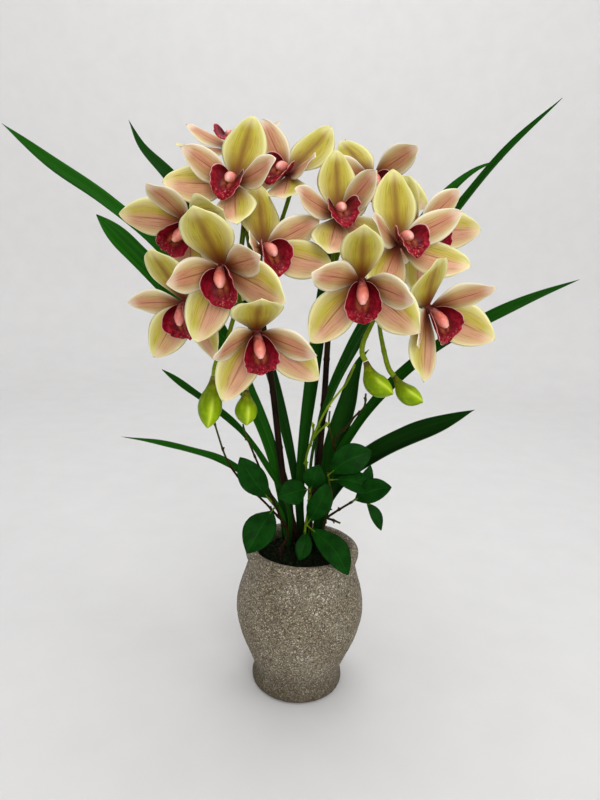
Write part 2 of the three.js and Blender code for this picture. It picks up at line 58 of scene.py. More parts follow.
PATTERN_SCALE = 1 / MM  # a texture's cells to the metre, for cells of one millimetre
CURVE_SAMPLES = 48  # between two of a curve's points


def curve_through(points):
    """A centripetal curve through points. It gives the place and the direction at shares of its length."""
    knots = np.array(points, float)
    padded = np.vstack([2 * knots[0] - knots[1], knots, 2 * knots[-1] - knots[-2]])
    share = np.linspace(0, 1, CURVE_SAMPLES, endpoint=False)[:, None]
    samples = []
    for p0, p1, p2, p3 in zip(padded, padded[1:], padded[2:], padded[3:]):
        d0, d1, d2 = (math.sqrt(np.linalg.norm(b - a)) for a, b in ((p0, p1), (p1, p2), (p2, p3)))
        leave = ((p1 - p0) / d0 - (p2 - p0) / (d0 + d1) + (p2 - p1) / d1) * d1
        arrive = ((p2 - p1) / d1 - (p3 - p1) / (d1 + d2) + (p3 - p2) / d2) * d1
        bend = -3 * p1 + 3 * p2 - 2 * leave - arrive
        samples.append(p1 + leave * share + bend * share**2 + (2 * p1 - 2 * p2 + leave + arrive) * share**3)
    line = np.vstack(samples + [knots[-1:]])
    length = np.concatenate([[0], np.cumsum(np.linalg.norm(np.diff(line, axis=0), axis=1))])

    def place(t):
        return np.stack([np.interp(t * length[-1], length, line[:, k]) for k in range(3)], -1)

    def direction(t):
        ahead = place(np.minimum(t + 0.004, 1)) - place(np.maximum(t - 0.004, 0))
        return ahead / np.linalg.norm(ahead, axis=-1, keepdims=True)

    return place, direction, length[-1]


def fine_noise(points, size, seed=0.0):
    """Smooth noise from -1 to 1 at each point, its bumps about one size across, in millimetres."""
    return np.array([noise.noise(Vector(p) / size + Vector((seed, seed, seed))) for p in points])


def ring_faces(rings, sides):
    """The faces between rings of points, and a cap at each end."""
    faces = []
    for i in range(rings - 1):
        for k in range(sides):
            a, b = i * sides + k, i * sides + (k + 1) % sides
            faces.append((a, b, b + sides, a + sides))
    return faces + [tuple(range(sides))[::-1], tuple(range((rings - 1) * sides, rings * sides))]


def tube(centres, radii, sides, sideways=(1, 0, 0)):
    """Rings of points round a line, and their faces."""
    ahead = np.gradient(centres, axis=0)
    ahead /= np.linalg.norm(ahead, axis=1, keepdims=True)
    across = np.zeros_like(centres)
    last = np.array(sideways, float)
    for i, along in enumerate(ahead):
        last = last - along * last.dot(along)
        last /= np.linalg.norm(last)
        across[i] = last
    upright = np.cross(ahead, across)
    turn = np.arange(sides) * 2 * math.pi / sides
    ring = across[:, None] * np.cos(turn)[:, None] + upright[:, None] * np.sin(turn)[:, None]
    points = (centres[:, None] + ring * radii.reshape(len(centres), -1, 1)).reshape(-1, 3)
    return points, ring_faces(len(centres), sides)


def assemble(name, shapes, materials):
    """One mesh from shapes in millimetres. Each has points, faces and its material's number, and two
    values at its points that materials read: tint, and spot, which begins with the place along it."""
    points, faces, spots, tints, numbers = [], [], [], [], []
    start = 0
    for shape in shapes:
        count = len(shape["points"])
        points.append(shape["points"])
        faces += [tuple(start + i for i in face) for face in shape["faces"]]
        spots.append(shape.get("spot", np.zeros((count, 3))))
        tints.append(shape.get("tint", np.zeros((count, 3))))
        numbers += [shape.get("material", 0)] * len(shape["faces"])
        start += count
    mesh = bpy.data.meshes.new(name)
    mesh.from_pydata((np.vstack(points) * MM).tolist(), [], faces)
    for title, values in (("spot", spots), ("tint", tints)):
        layer = mesh.attributes.new(title, "FLOAT_VECTOR", "POINT")
        layer.data.foreach_set("vector", np.vstack(values).astype(np.float32).ravel())
    for material in materials:
        mesh.materials.append(material)
    mesh.polygons.foreach_set("material_index", numbers)
    mesh.polygons.foreach_set("use_smooth", [True] * len(faces))
    mesh.validate()
    piece = bpy.data.objects.new(name, mesh)
    bpy.context.scene.collection.objects.link(piece)
    return piece


def linear(hex_colour):
    """An sRGB hex colour in the linear light that shaders take."""
    parts = [int(hex_colour[i : i + 2], 16) / 255 for i in (1, 3, 5)]
    return [c / 12.92 if c <= 0.04045 else ((c + 0.055) / 1.055) ** 2.4 for c in parts] + [1.0]


def add_node(material, kind, inputs=None, stops=(), **settings):
    """Adds a node to a material. An input is a value or another node's output, and stops are a ramp's."""
    tree = material.node_tree
    node = tree.nodes.new("ShaderNode" + kind)
    for name, value in settings.items():
        setattr(node, name, value)
    for name, value in (inputs or {}).items():
        if isinstance(value, bpy.types.NodeSocket):
            tree.links.new(value, node.inputs[name])
        else:
            node.inputs[name].default_value = value
    for i, (place, colour) in enumerate(stops):
        elements = node.color_ramp.elements
        element = elements[i] if i < 2 else elements.new(place)
        element.position = place
        element.color = linear(colour)
    return node


def new_material(name, finish):
    """A material with nothing in it but its output and the shader that it shows, whose values finish
    gives."""
    material = bpy.data.materials.new(name)
    material.use_nodes = True
    material.node_tree.nodes.clear()
    output = add_node(material, "OutputMaterial")
    shader = add_node(material, "BsdfPrincipled", finish)
    material.node_tree.links.new(shader.outputs["BSDF"], output.inputs["Surface"])
    return material, shader


def wire(material, source, target):
    material.node_tree.links.new(source, target)


def cast_cement():
    # Coarse cement, cast and left bare: matt and gritty, with pale quartz and dark slag grains about a
    # millimetre across in a warm grey paste. It has damp patches and a green stain inside the lip, where
    # the moss touches it. Painted shade darkens its foot and the inside of its air holes.
    material, shader = new_material("cast_cement", {"Roughness": 0.92, "Specular IOR Level": 0.25})
    place = add_node(material, "TexCoord").outputs["Object"]
    grains = add_node(material, "TexVoronoi", {"Vector": place, "Scale": PATTERN_SCALE / 0.95})
    shade = add_node(material, "SeparateColor", {"Color": grains.outputs["Color"]}).outputs["Red"]
    grain_colour = add_node(
        material, "ValToRGB", {"Fac": shade},
        stops=[(0.0, "#14110c"), (1.0, "#f8f0e0"), (0.18, "#342e24"), (0.36, "#6e6657"),
               (0.72, "#8e8673"), (0.92, "#b8af9b")],
    )
    paste = add_node(
        material, "TexNoise",
        {"Vector": place, "Scale": PATTERN_SCALE / 0.9, "Detail": 3.0, "Roughness": 0.7},
    )
    paste_colour = add_node(
        material, "ValToRGB", {"Fac": paste.outputs["Fac"]}, stops=[(0.3, "#5d5446"), (0.7, "#a59b88")]
    )
    speckled = add_node(
        material, "Mix", {0: 0.36, 6: grain_colour.outputs["Color"], 7: paste_colour.outputs["Color"]},
        data_type="RGBA",
    )
    patches = add_node(
        material, "TexNoise",
        {"Vector": place, "Scale": PATTERN_SCALE / 38, "Detail": 2.0, "Roughness": 0.5},
    )
    damp = add_node(
        material, "ValToRGB", {"Fac": patches.outputs["Fac"]}, stops=[(0.35, "#c9c0b0"), (0.7, "#ffffff")]
    )
    weathered = add_node(
        material, "Mix", {0: 0.6, 6: speckled.outputs[2], 7: damp.outputs["Color"]},
        data_type="RGBA", blend_type="MULTIPLY",
    )
    tint = add_node(
        material, "SeparateXYZ", {0: add_node(material, "Attribute", attribute_name="tint").outputs[1]}
    )
    stained = add_node(
        material, "Mix", {0: tint.outputs["X"], 6: weathered.outputs[2], 7: linear("#2e3a18")},
        data_type="RGBA",
    )
    # tint Y is painted shade on the foot, and tint Z is painted shade down in the air holes
    shaded = add_node(
        material, "Mix", {0: tint.outputs["Y"], 6: stained.outputs[2], 7: linear("#423a2b")},
        data_type="RGBA",
    )
    hole_shaded = add_node(
        material, "Mix", {0: tint.outputs["Z"], 6: shaded.outputs[2], 7: linear("#1c1710")},
        data_type="RGBA",
    )
    wire(material, hole_shaded.outputs[2], shader.inputs["Base Color"])
    relief = add_node(
        material, "Math", {0: grains.outputs["Distance"], 1: paste.outputs["Fac"]}, operation="SUBTRACT"
    )
    bump = add_node(
        material, "Bump", {"Height": relief.outputs[0], "Strength": 0.5, "Distance": 0.5 * MM}
    )
    wire(material, bump.outputs["Normal"], shader.inputs["Normal"])
    return material


def make_pot():
    draw = random.Random(11)
    outside, _, outside_length = curve_through([(r, 0, z) for r, z in POT_OUTSIDE])
    inside, _, inside_length = curve_through([(r, 0, z) for r, z in POT_INSIDE])
    outer = outside(np.linspace(0, 1, int(outside_length / POT_RING_STEP)))
    inner = inside(np.linspace(0, 1, int(inside_length / POT_RING_STEP / 2)))
    profile = np.vstack([outer, np.array(POT_LIP), inner])
    turn = np.arange(POT_SIDES) * 2 * math.pi / POT_SIDES
    radius, height = profile[:, :1], profile[:, 2:]
    points = np.stack(
        [radius * np.cos(turn), radius * np.sin(turn), height + 0 * turn], -1
    ).reshape(-1, 3)
    away = points * (1, 1, 0) / np.linalg.norm(points * (1, 1, 0), axis=1, keepdims=True)
    depth = GRIT_DEPTH * (
        fine_noise(points, 1.9) + fine_noise(points, 4.2, 5.0) + fine_noise(points, 15, 9.0)
    )
    grid = points.reshape(len(profile), POT_SIDES, 3)
    # painted shade in the air holes, strongest at their bottoms
    hole_shade = np.zeros(len(points))
    for _ in range(AIR_HOLES):
        hole = grid[draw.randrange(4, len(outer) - 4), draw.randrange(POT_SIDES)]
        size = draw.uniform(0.7, 1.3) + draw.random() ** 6
        hollow = np.clip(1 - (np.linalg.norm(points - hole, axis=1) / size) ** 2, 0, 1)
        depth -= draw.uniform(0.5, 1.0) * hollow
        hole_shade = np.maximum(hole_shade, hollow)
    foot = np.clip(points[:, 2:] / 3, 0, 1)  # the foot's flat stays flat
    points = points + away * depth[:, None] * foot
    stain = np.clip(1.6 - np.abs(points[:, 2] - 140) / 7, 0, 1) * (
        np.arange(len(points)) // POT_SIDES > len(outer)
    )
    # painted shade, darkest at the bottom of the foot
    low = 0.75 * np.clip(1 - points[:, 2] / 45, 0, 1)
    faces = ring_faces(len(profile), POT_SIDES)
    mossy = stain * (0.6 + 0.35 * away @ np.array([0.5, 0.85, 0]))
    tint = np.stack([mossy, low, 0.9 * hole_shade], -1)
    return assemble("cement_pot", [{"points": points, "faces": faces, "tint": tint}], [cast_cement()])


pot = make_pot()
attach(pot, "root")
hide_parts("pot")

# ---- Moss ------------------------------------------------------------------------------------------
# Dark preserved moss packed round the stems: a cushion of matted tufts, pushed down hard at the wall
# and mounded as high as the lip in the middle, with loose shoots standing up out of it.
MOSS_EDGE = (43.9, 136)
MOSS_TOP = 150
MOSS_SHOOTS = 1500
MOSS_RINGS = 44
MOSS_SIDES = 132
MOSS_WALL = [(29, 15), (39, 38.5), (48.2, 60.3), (52.2, 92), (46.5, 125)]


def packed_moss():
    # Dried moss, with no shine: dull olive at the shoots' tips and near black in its depths, its own dark
    # colour deepened there by painted shade, since the pattern that colours it also sets its bumps.
    material, shader = new_material("packed_moss", {"Roughness": 0.95, "Specular IOR Level": 0.1})
    place = add_node(material, "TexCoord").outputs["Object"]
    tufts = add_node(material, "TexNoise", {"Vector": place, "Scale": PATTERN_SCALE / 3, "Detail": 4.0})
    # the darkest stops fall in the hollows of the bumps: painted shade over the moss's own dark colour
    colour = add_node(
        material, "ValToRGB", {"Fac": tufts.outputs["Fac"]},
        stops=[(0.3, "#060904"), (0.75, "#26360f"), (0.55, "#101807")],
    )
    tint = add_node(
        material, "SeparateXYZ", {0: add_node(material, "Attribute", attribute_name="tint").outputs[1]}
    )
    fresh = add_node(
        material, "Mix", {0: tint.outputs["X"], 6: colour.outputs["Color"], 7: linear("#3c5216")},
        data_type="RGBA",
    )
    wire(material, fresh.outputs[2], shader.inputs["Base Color"])
    bump = add_node(
        material, "Bump", {"Height": tufts.outputs["Fac"], "Strength": 0.8, "Distance": 1.5 * MM}
    )
    wire(material, bump.outputs["Normal"], shader.inputs["Normal"])
    return material


def moss_height(radius):
    return np.interp(radius, [0, 22, 33, MOSS_EDGE[0]], [MOSS_TOP, MOSS_TOP - 1, 143, MOSS_EDGE[1]])


def make_moss():
    draw = random.Random(23)
    rings = np.linspace(MOSS_EDGE[0], 0.6, MOSS_RINGS)
    turn = np.arange(MOSS_SIDES) * 2 * math.pi / MOSS_SIDES
    top = np.stack(
        [
            rings[:, None] * np.cos(turn),
            rings[:, None] * np.sin(turn),
            moss_height(rings)[:, None] + 0 * turn,
        ],
        -1,
    ).reshape(-1, 3)
    lumps = 1.1 * fine_noise(top, 6) + 0.9 * fine_noise(top, 2.6, 3.0)
    inward = np.clip((MOSS_EDGE[0] - np.linalg.norm(top[:, :2], axis=1)) / 3, 0, 1)
    top[:, 2] += (lumps - 0.8) * inward
    under = np.array([(r * math.cos(a), r * math.sin(a), z) for r, z in MOSS_WALL for a in turn])
    points = np.vstack([under, top])
    shapes = [{"points": points, "faces": ring_faces(len(MOSS_WALL) + MOSS_RINGS, MOSS_SIDES)}]
    for _ in range(MOSS_SHOOTS):
        radius, angle = 43 * math.sqrt(draw.random()), draw.uniform(0, 2 * math.pi)
        foot = np.array([radius * math.cos(angle), radius * math.sin(angle), moss_height(radius) - 1.2])
        lean = np.array([draw.uniform(-1.6, 1.6), draw.uniform(-1.6, 1.6), draw.uniform(1.6, 3.4)])
        centres = foot + lean * np.array([[0], [0.6], [1]])
        shoot, sides_of = tube(centres, np.array([[0.45], [0.4], [0.08]]), sides=3)
        # the moss is still green along the wall at the back right
        green = 0.8 * draw.random() * (radius > 34) * max(0.0, math.cos(angle - 1.1))
        shapes.append({"points": shoot, "faces": sides_of, "tint": np.tile((green, 0, 0), (len(shoot), 1))})
    return assemble("moss_cushion", shapes, [packed_moss()])


moss = make_moss()
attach(moss, "root")
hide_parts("moss")

# ---- Strap leaves ----------------------------------------------------------------------------------
# Eleven keeled leaves, each one blade that narrows to a foot pushed into the moss. They spring up
# and arch outwards, most of them with the upper side to the front, and painted shade darkens some
# of them all over and the lower half of each.
LEAF_THICKNESS = 1.0
LEAF_GRID = (72, 13)  # points along a blade and across it
PEG_HEIGHTS = (131, 140, 148, 153)
# the value that darkens some whole leaves is painted shade
STRAP_LEAVES = [
    {"name": "left_long", "root": (-10, 13), "width": 15, "widest": 0.85, "face": (0.35, -0.8, 0.5),
     "fold": 0.3,
     "keel": [(-18, 15, 202), (-46, 26, 270), (-89, 38, 356), (-147, 46, 431), (-204, 46, 477),
              (-252, 36, 508), (-289, 22, 538)]},
    {"name": "left_upper", "dark": 0.5, "root": (-3, 17), "width": 18, "widest": 0.8,
     "face": (0.5, -0.7, 0.5), "fold": 0.4,
     "keel": [(-9, 19, 202), (-23, 28, 261), (-48, 42, 337), (-94, 58, 425), (-144, 70, 499),
              (-176, 74, 532), (-189, 76, 557)]},
    {"name": "left_broad", "root": (-17, 8), "width": 20, "widest": 0.9, "face": (0.2, -0.9, 0.35),
     "fold": 0.2,
     "keel": [(-24, 10, 204), (-43, 15, 264), (-78, 20, 329), (-117, 22, 375), (-155, 18, 415),
              (-181, 13, 441), (-201, 9, 461)]},
    {"name": "left_low", "dark": 0.25, "root": (-12, -3), "width": 10, "widest": 0.85,
     "face": (0.35, -0.45, 0.8), "fold": 0.3,
     "keel": [(-16, -2, 190), (-37, -5, 230), (-62, -12, 267), (-87, -20, 291), (-113, -26, 311),
              (-133, -30, 327)]},
    {"name": "left_lowest", "root": (-14, -11), "width": 10, "face": (0.2, -0.4, 0.9), "fold": 0.35,
     "keel": [(-24, -10, 188), (-54, -9, 220), (-81, -10, 237), (-111, -13, 247), (-143, -17, 255),
              (-174, -20, 260)]},
    {"name": "centre", "dark": 0.35, "root": (1, 10), "width": 15, "face": (-0.3, -0.95, 0.1),
     "fold": 0.25,
     "keel": [(-4, 12, 193), (-3, 18, 244), (3, 31, 313), (10, 46, 381), (18, 62, 450), (23, 74, 508),
              (26, 80, 548)]},
    {"name": "right_long", "dark": 0.3, "root": (7, -7), "width": 15, "widest": 0.7,
     "face": (-0.95, -0.05, 0.3), "tip_face": (-0.5, -0.6, 0.6), "fold": 0.45,
     "keel": [(6, -6, 240), (14, -6, 282), (30, 2, 325), (51, 20, 365), (91, 42, 419), (131, 30, 478),
              (164, 0, 529), (198, -20, 567)]},
    {"name": "right_broad", "root": (8, 16), "width": 18, "face": (-0.85, -0.1, 0.5),
     "tip_face": (-0.1, -0.95, 0.25), "fold": 0.25,
     "keel": [(12, 24, 215), (16, 28, 274), (26, 32, 307), (44, 42, 346), (55, 48, 367), (90, 54, 442),
              (127, 62, 498), (154, 62, 522), (178, 60, 532)]},
    {"name": "right_short", "dark": 0.45, "root": (14, 9), "width": 20, "face": (-0.1, -0.95, 0.25),
     "fold": 0.15,
     "keel": [(21, 10, 215), (27, 12, 250), (38, 14, 294), (43, 15, 320), (49, 16, 338), (56, 16, 347)]},
    {"name": "right_low", "dark": 0.3, "root": (16, 0), "width": 14, "widest": 0.8,
     "face": (-0.35, -0.75, 0.5), "tip_face": (-0.45, -0.5, 0.75), "fold": 0.45,
     "keel": [(22, 0, 217), (47, 0, 273), (80, -8, 321), (116, -18, 357), (154, -32, 384),
              (186, -45, 404), (215, -60, 421)]},
    {"name": "right_lowest", "dark": 0.75, "root": (14, -9), "width": 19, "widest": 0.7,
     "face": (-0.3, -0.8, 0.5), "fold": 0.2,
     "keel": [(18, -9, 191), (37, -14, 229), (63, -24, 256), (90, -40, 278), (117, -57, 296),
              (138, -70, 311)]},
]


def blade(surface, rows, columns, thickness):
    """A thin blade whose two faces meet in one sharp rim. surface gives the points and the normals at
    t along it, 0 to 1, and s across it, -1 to 1."""
    t, s = np.meshgrid(np.linspace(0, 1, rows), np.linspace(-1, 1, columns), indexing="ij")
    point, normal = surface(t, s)
    # the blade keeps its thickness nearly to the rim, then rounds off
    swell = thickness / 2 * np.sqrt(np.clip(1 - np.abs(s) ** 6, 0, 1) * np.clip(1 - t**30, 0, 1))
    top = (point + normal * swell[..., None]).reshape(-1, 3)
    bottom = (point - normal * swell[..., None]).reshape(-1, 3)
    number = np.arange(rows * columns).reshape(rows, columns)
    under = number + rows * columns
    rim = np.zeros_like(number, bool)
    rim[0] = rim[-1] = rim[:, 0] = rim[:, -1] = True
    under[rim] = number[rim]
    kept = np.ones(2 * rows * columns, bool)
    kept[rows * columns :] = ~rim.ravel()
    fresh = np.cumsum(kept) - 1
    faces = []
    for sheet, order in ((number, 1), (under, -1)):
        quads = np.stack([sheet[:-1, :-1], sheet[1:, :-1], sheet[1:, 1:], sheet[:-1, 1:]], -1)
        faces += [tuple(fresh[quad][::order]) for quad in quads.reshape(-1, 4)]
    points = np.vstack([top, bottom])[kept]
    spot = np.tile(np.stack([t, s, 0 * t], -1).reshape(-1, 3), (2, 1))[kept]
    underside = np.repeat([0.0, 1.0], rows * columns)[kept]
    first = points[list(faces[0])]
    facing = np.cross(first[1] - first[0], first[2] - first[0]).dot(normal[0, 0])
    if facing < 0:
        faces = [face[::-1] for face in faces]
    return {"points": points, "faces": faces, "spot": spot, "underside": underside}


def smooth(value, low, high):
    """A soft step: 0 below low, 1 above high, also where high is the smaller."""
    share = np.clip((value - low) / (high - low), 0, 1)
    return share * share * (3 - 2 * share)


def strap_width(t, widest):
    swelling = 0.36 + 0.64 * np.sin(np.pi / 2 * np.minimum(t / widest, 1))
    taper = 1 - np.clip((t - widest) / (1 - widest), 0, 1) ** 2.2
    return np.where(t < widest, swelling, np.maximum(taper, 0.03))


def keeled_surface(points, half_width, face, fold, keel_round=0.12, tip_face=None):
    """A blade folded along its keel, which is itself rounded off over keel_round of its half width. Its
    upper side looks the way of face, and twists on to look the way of tip_face at its tip."""
    place, direction, _ = curve_through(points)
    twist = np.array(tip_face or face) - np.array(face)

    def surface(t, s):
        along = direction(t)
        look = np.array(face) + twist * t[..., None]
        side = np.cross(along, look)
        side /= np.linalg.norm(side, axis=-1, keepdims=True)
        up = np.cross(side, along)
        half = half_width(t)[..., None]
        rise = np.sqrt(s**2 + keel_round**2) - keel_round
        return place(t) + side * s[..., None] * half + up * rise[..., None] * half * fold, up

    return surface


def strap_leaf_green():
    # Living leaf with a waxy skin: deep green above and nearly black-green below, with veins running its
    # whole length about a millimetre apart, and a fine pale rim, partly its own colour and partly painted
    # light glowing through the thin edge. Painted shade darkens it at its foot, on its lower half and over
    # some whole leaves.
    material, shader = new_material("waxy_strap_leaf", {"Roughness": 0.5, "Specular IOR Level": 0.04})
    spot = add_node(material, "Attribute", attribute_name="spot")
    axes = add_node(material, "SeparateXYZ", {0: spot.outputs["Vector"]})
    stretched = add_node(
        material, "Mapping", {"Vector": spot.outputs["Vector"], "Scale": (2.2, 14.0, 9.0)}
    )
    veins = add_node(
        material, "TexNoise",
        {"Vector": stretched.outputs[0], "Scale": 1.0, "Detail": 3.0, "Roughness": 0.6},
    )
    upper = add_node(
        material, "ValToRGB", {"Fac": veins.outputs["Fac"]},
        stops=[(0.3, "#0c3503"), (0.72, "#236a10"), (0.52, "#175006")],
    )
    tint = add_node(
        material, "SeparateXYZ", {0: add_node(material, "Attribute", attribute_name="tint").outputs[1]}
    )
    # tint Y is painted shade, near black towards the leaf's foot down among the other stems
    foot = add_node(
        material, "Mix", {0: tint.outputs["Y"], 6: upper.outputs["Color"], 7: linear("#081604")},
        data_type="RGBA",
    )
    # tint Z is painted shade, over some whole leaves and on the lower half of each
    shaded = add_node(
        material, "Mix", {0: tint.outputs["Z"], 6: foot.outputs[2], 7: linear("#071a05")},
        data_type="RGBA",
    )
    backed = add_node(
        material, "Mix", {0: tint.outputs["X"], 6: shaded.outputs[2], 7: linear("#0a2604")},
        data_type="RGBA",
    )
    span = add_node(material, "Math", {0: axes.outputs["Y"]}, operation="ABSOLUTE")
    # the pale rim is partly the leaf's own colour and partly painted light glowing through the thin edge
    rim = add_node(
        material, "MapRange",
        {"Value": span.outputs[0], "From Min": 0.88, "From Max": 1.0, "To Min": 0.0, "To Max": 0.35},
    )
    edged = add_node(
        material, "Mix", {0: rim.outputs[0], 6: backed.outputs[2], 7: linear("#3f8a22")}, data_type="RGBA"
    )
    wire(material, edged.outputs[2], shader.inputs["Base Color"])
    bump = add_node(
        material, "Bump", {"Height": veins.outputs["Fac"], "Strength": 0.35, "Distance": 0.3 * MM}
    )
    wire(material, bump.outputs["Normal"], shader.inputs["Normal"])
    return material


def peg(root, radius):
    """The round foot of a stem, down in its hole in the moss."""
    centres = np.array([(*root, z) for z in PEG_HEIGHTS], float)
    points, faces = tube(centres, np.array([[0.7], [0.95], [1], [0.8]]) * radius, sides=10)
    return {"points": points, "faces": faces}


strap_green = strap_leaf_green()
leaf_draw = random.Random(31)
for leaf in STRAP_LEAVES:
    half, widest = leaf["width"] / 2, leaf.get("widest", 0.55)
    phase = leaf_draw.uniform(0, 6)
    lay = keeled_surface(
        [(*leaf["root"], MOSS_TOP + 1), *leaf["keel"]], lambda t: half * strap_width(t, widest),
        leaf["face"], leaf["fold"], tip_face=leaf.get("tip_face"),
    )

    def waved(t, s):
        point, up = lay(t, s)
        # the rims of a strap leaf ripple by half a millimetre or so over a few centimetres
        ripple = 0.5 * np.abs(s) ** 3 * np.sin(22 * t + phase + 1.4 * np.sign(s)) * np.clip(t * 5, 0, 1)
        return point + up * ripple[..., None], up

    shape = blade(waved, *LEAF_GRID, LEAF_THICKNESS)
    shape["spot"][:, 2] = phase
    along = shape["spot"][:, 0]
    # painted shade: the half of the blade that lies lower, or further right, is the darker green
    off_keel = shape["points"] - lay(along, 0 * along)[0]
    lower_half_shade = smooth(off_keel @ np.array([0.7, 0, -0.7]) / half, 0.0, 0.5)
    dark = leaf.get("dark", 0) + (0.55 - 0.4 * leaf.get("dark", 0)) * lower_half_shade
    # tint: the underside, painted shade towards the foot, and painted shade on the lower half
    shape["tint"] = np.stack([shape["underside"], 0.85 * np.clip(1 - along / 0.2, 0, 1), dark], -1)
    foot = peg(leaf["root"], 2.4)
    # the peg down in the moss is all in painted shade
    foot["tint"] = np.tile((0.0, 1.0, 0.0), (len(foot["points"]), 1))
    piece = assemble("strap_leaf_" + leaf["name"], [shape, foot], [strap_green])
    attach(piece, "root")
    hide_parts("leaf_" + leaf["name"])

# ---- Blooms ----------------------------------------------------------------------------------------
# Fourteen cymbidium flowers. Each has a broad dorsal sepal, two petals and two lateral sepals round a
# small green receptacle: thick waxy tissue, lime and cream at the rims and rosy tan along the ribs.
TEPAL_THICKNESS = 0.9
TEPAL_GRID = (34, 19)
TEPAL_START = 3  # how far from the bloom's middle a tepal begins
TEPAL_CURL = 10  # degrees, from base to tip
TEPAL_WIDEST = 0.5
TEPALS = [
    {"kind": "dorsal", "turn": 0, "length": 60, "width": 40, "base": -0.6, "cup": -0.16},
    {"kind": "petal", "turn": -80, "length": 52, "width": 27, "base": 0.4, "cup": -0.1},
    {"kind": "petal", "turn": 80, "length": 52, "width": 27, "base": 0.4, "cup": -0.1},
    {"kind": "lateral", "turn": -132, "length": 58, "width": 36, "base": -0.6, "cup": -0.12},
    {"kind": "lateral", "turn": 132, "length": 58, "width": 36, "base": -0.6, "cup": -0.12},
]
KINDS = ["dorsal", "petal", "lateral"]
RECEPTACLE = [(0, 0, -5), (0, 0, -3), (0, 0, -0.8), (0, 0, 0.7)]
RECEPTACLE_RADII = [[2.4], [3.4], [4.5], [4.2]]
RECEPTACLE_SIDES = 16
BLOOMS = {
    "left": [
        {"at": (-86, 80, 535), "yaw": -10, "pitch": 62, "roll": 0, "joins": 0.5,
         "rise": (-15, 17, 22, 12, 12), "turn": (0, 4, 0, 0, 0)},
        {"at": (-72, -20, 490), "yaw": -6, "pitch": 18, "roll": 12, "joins": 0.6, "lift": 7,
         "rise": (-6, 45, 40, 17, 30), "turn": (-2, -7, -6, 19, 22)},
        {"at": (-28, 20.5, 505.5), "yaw": -13, "pitch": 29, "roll": 26, "joins": 0.55,
         "rise": (-7, 16, 45, 12, 30), "turn": (5, 22, 8, 0, 10)},
        {"at": (-110, -28, 454), "yaw": -14, "pitch": -32, "roll": 52, "joins": 0.7,
         "rise": (26, 24, 22, 3, 12), "turn": (8, 11, 0, 0, 0)},
        {"at": (-44, -46.5, 436), "yaw": 29, "pitch": 11, "roll": -6, "joins": 0.75,
         "rise": (-23, 52, 12, -8, 34), "turn": (13, -17, -11, 0, -12)},
        {"at": (-72, -89, 418), "yaw": -8, "pitch": -15, "roll": -20, "joins": 0.9,
         "via": [(-58, -66, 384)], "rise": (31, 57, 37, 21, 21), "turn": (10, 10, 3, -9, -5)},
        {"at": (-112, -33, 387), "yaw": -20, "pitch": -33, "roll": -8, "joins": 0.88,
         "rise": (10, 3, 22, 24, 30), "turn": (4, -1, 0, -3, 7)},
        {"at": (-44, -91, 369), "yaw": 13, "pitch": -27, "roll": -9, "joins": 0.93,
         "rise": (32, 45, 40, 17, 26), "turn": (2, 8, 11, -12, -7)},
    ],
    "right": [
        {"at": (18, -21, 467), "yaw": 5, "pitch": 26, "roll": -9, "joins": 0.55, "dorsal": 35, "lift": 10,
         "rise": (-2, 40, 58, 26, 20), "turn": (8, -2, -10, -25, 10)},
        {"at": (51, 38, 507), "yaw": 6, "pitch": 4, "roll": -4, "joins": 0.5, "dorsal": 32,
         "rise": (-44, 22, 45, 12, 20), "turn": (-28, 0, -18, 0, -8)},
        {"at": (67, -54, 444), "yaw": 16, "pitch": 27, "roll": -7, "joins": 0.7, "lift": 10,
         "rise": (6, 43, 27, 6, 15), "turn": (6, -6, -2, -12, -6)},
        {"at": (35, -92, 412), "yaw": 0, "pitch": -20, "roll": -3, "joins": 0.8, "dorsal": 32,
         "rise": (29, 36, 49, 12, 33), "turn": (-3, 17, 7, -6, -10)},
        {"at": (94, -63, 392), "yaw": 34, "pitch": -16, "roll": -35, "joins": 0.9,
         "rise": (20, 38, 35, 26, 39), "turn": (1, 3, 0, 0, 8)},
        {"at": (93, 7, 457), "yaw": 34, "pitch": 1, "roll": -41, "joins": 0.62,
         "rise": (16, 18, 10, 8, 22), "turn": (-5, 0, 3, 0, -6)},
    ],
}


def tepal_width(t):
    swelling = 0.13 + 0.87 * np.sin(np.pi / 2 * np.minimum(t / TEPAL_WIDEST, 1))
    beyond = np.clip((t - TEPAL_WIDEST) / (1 - TEPAL_WIDEST), 0, 1)
    return np.where(t < TEPAL_WIDEST, swelling, np.maximum(np.cos(np.pi / 2 * beyond) ** 0.75, 0.02))


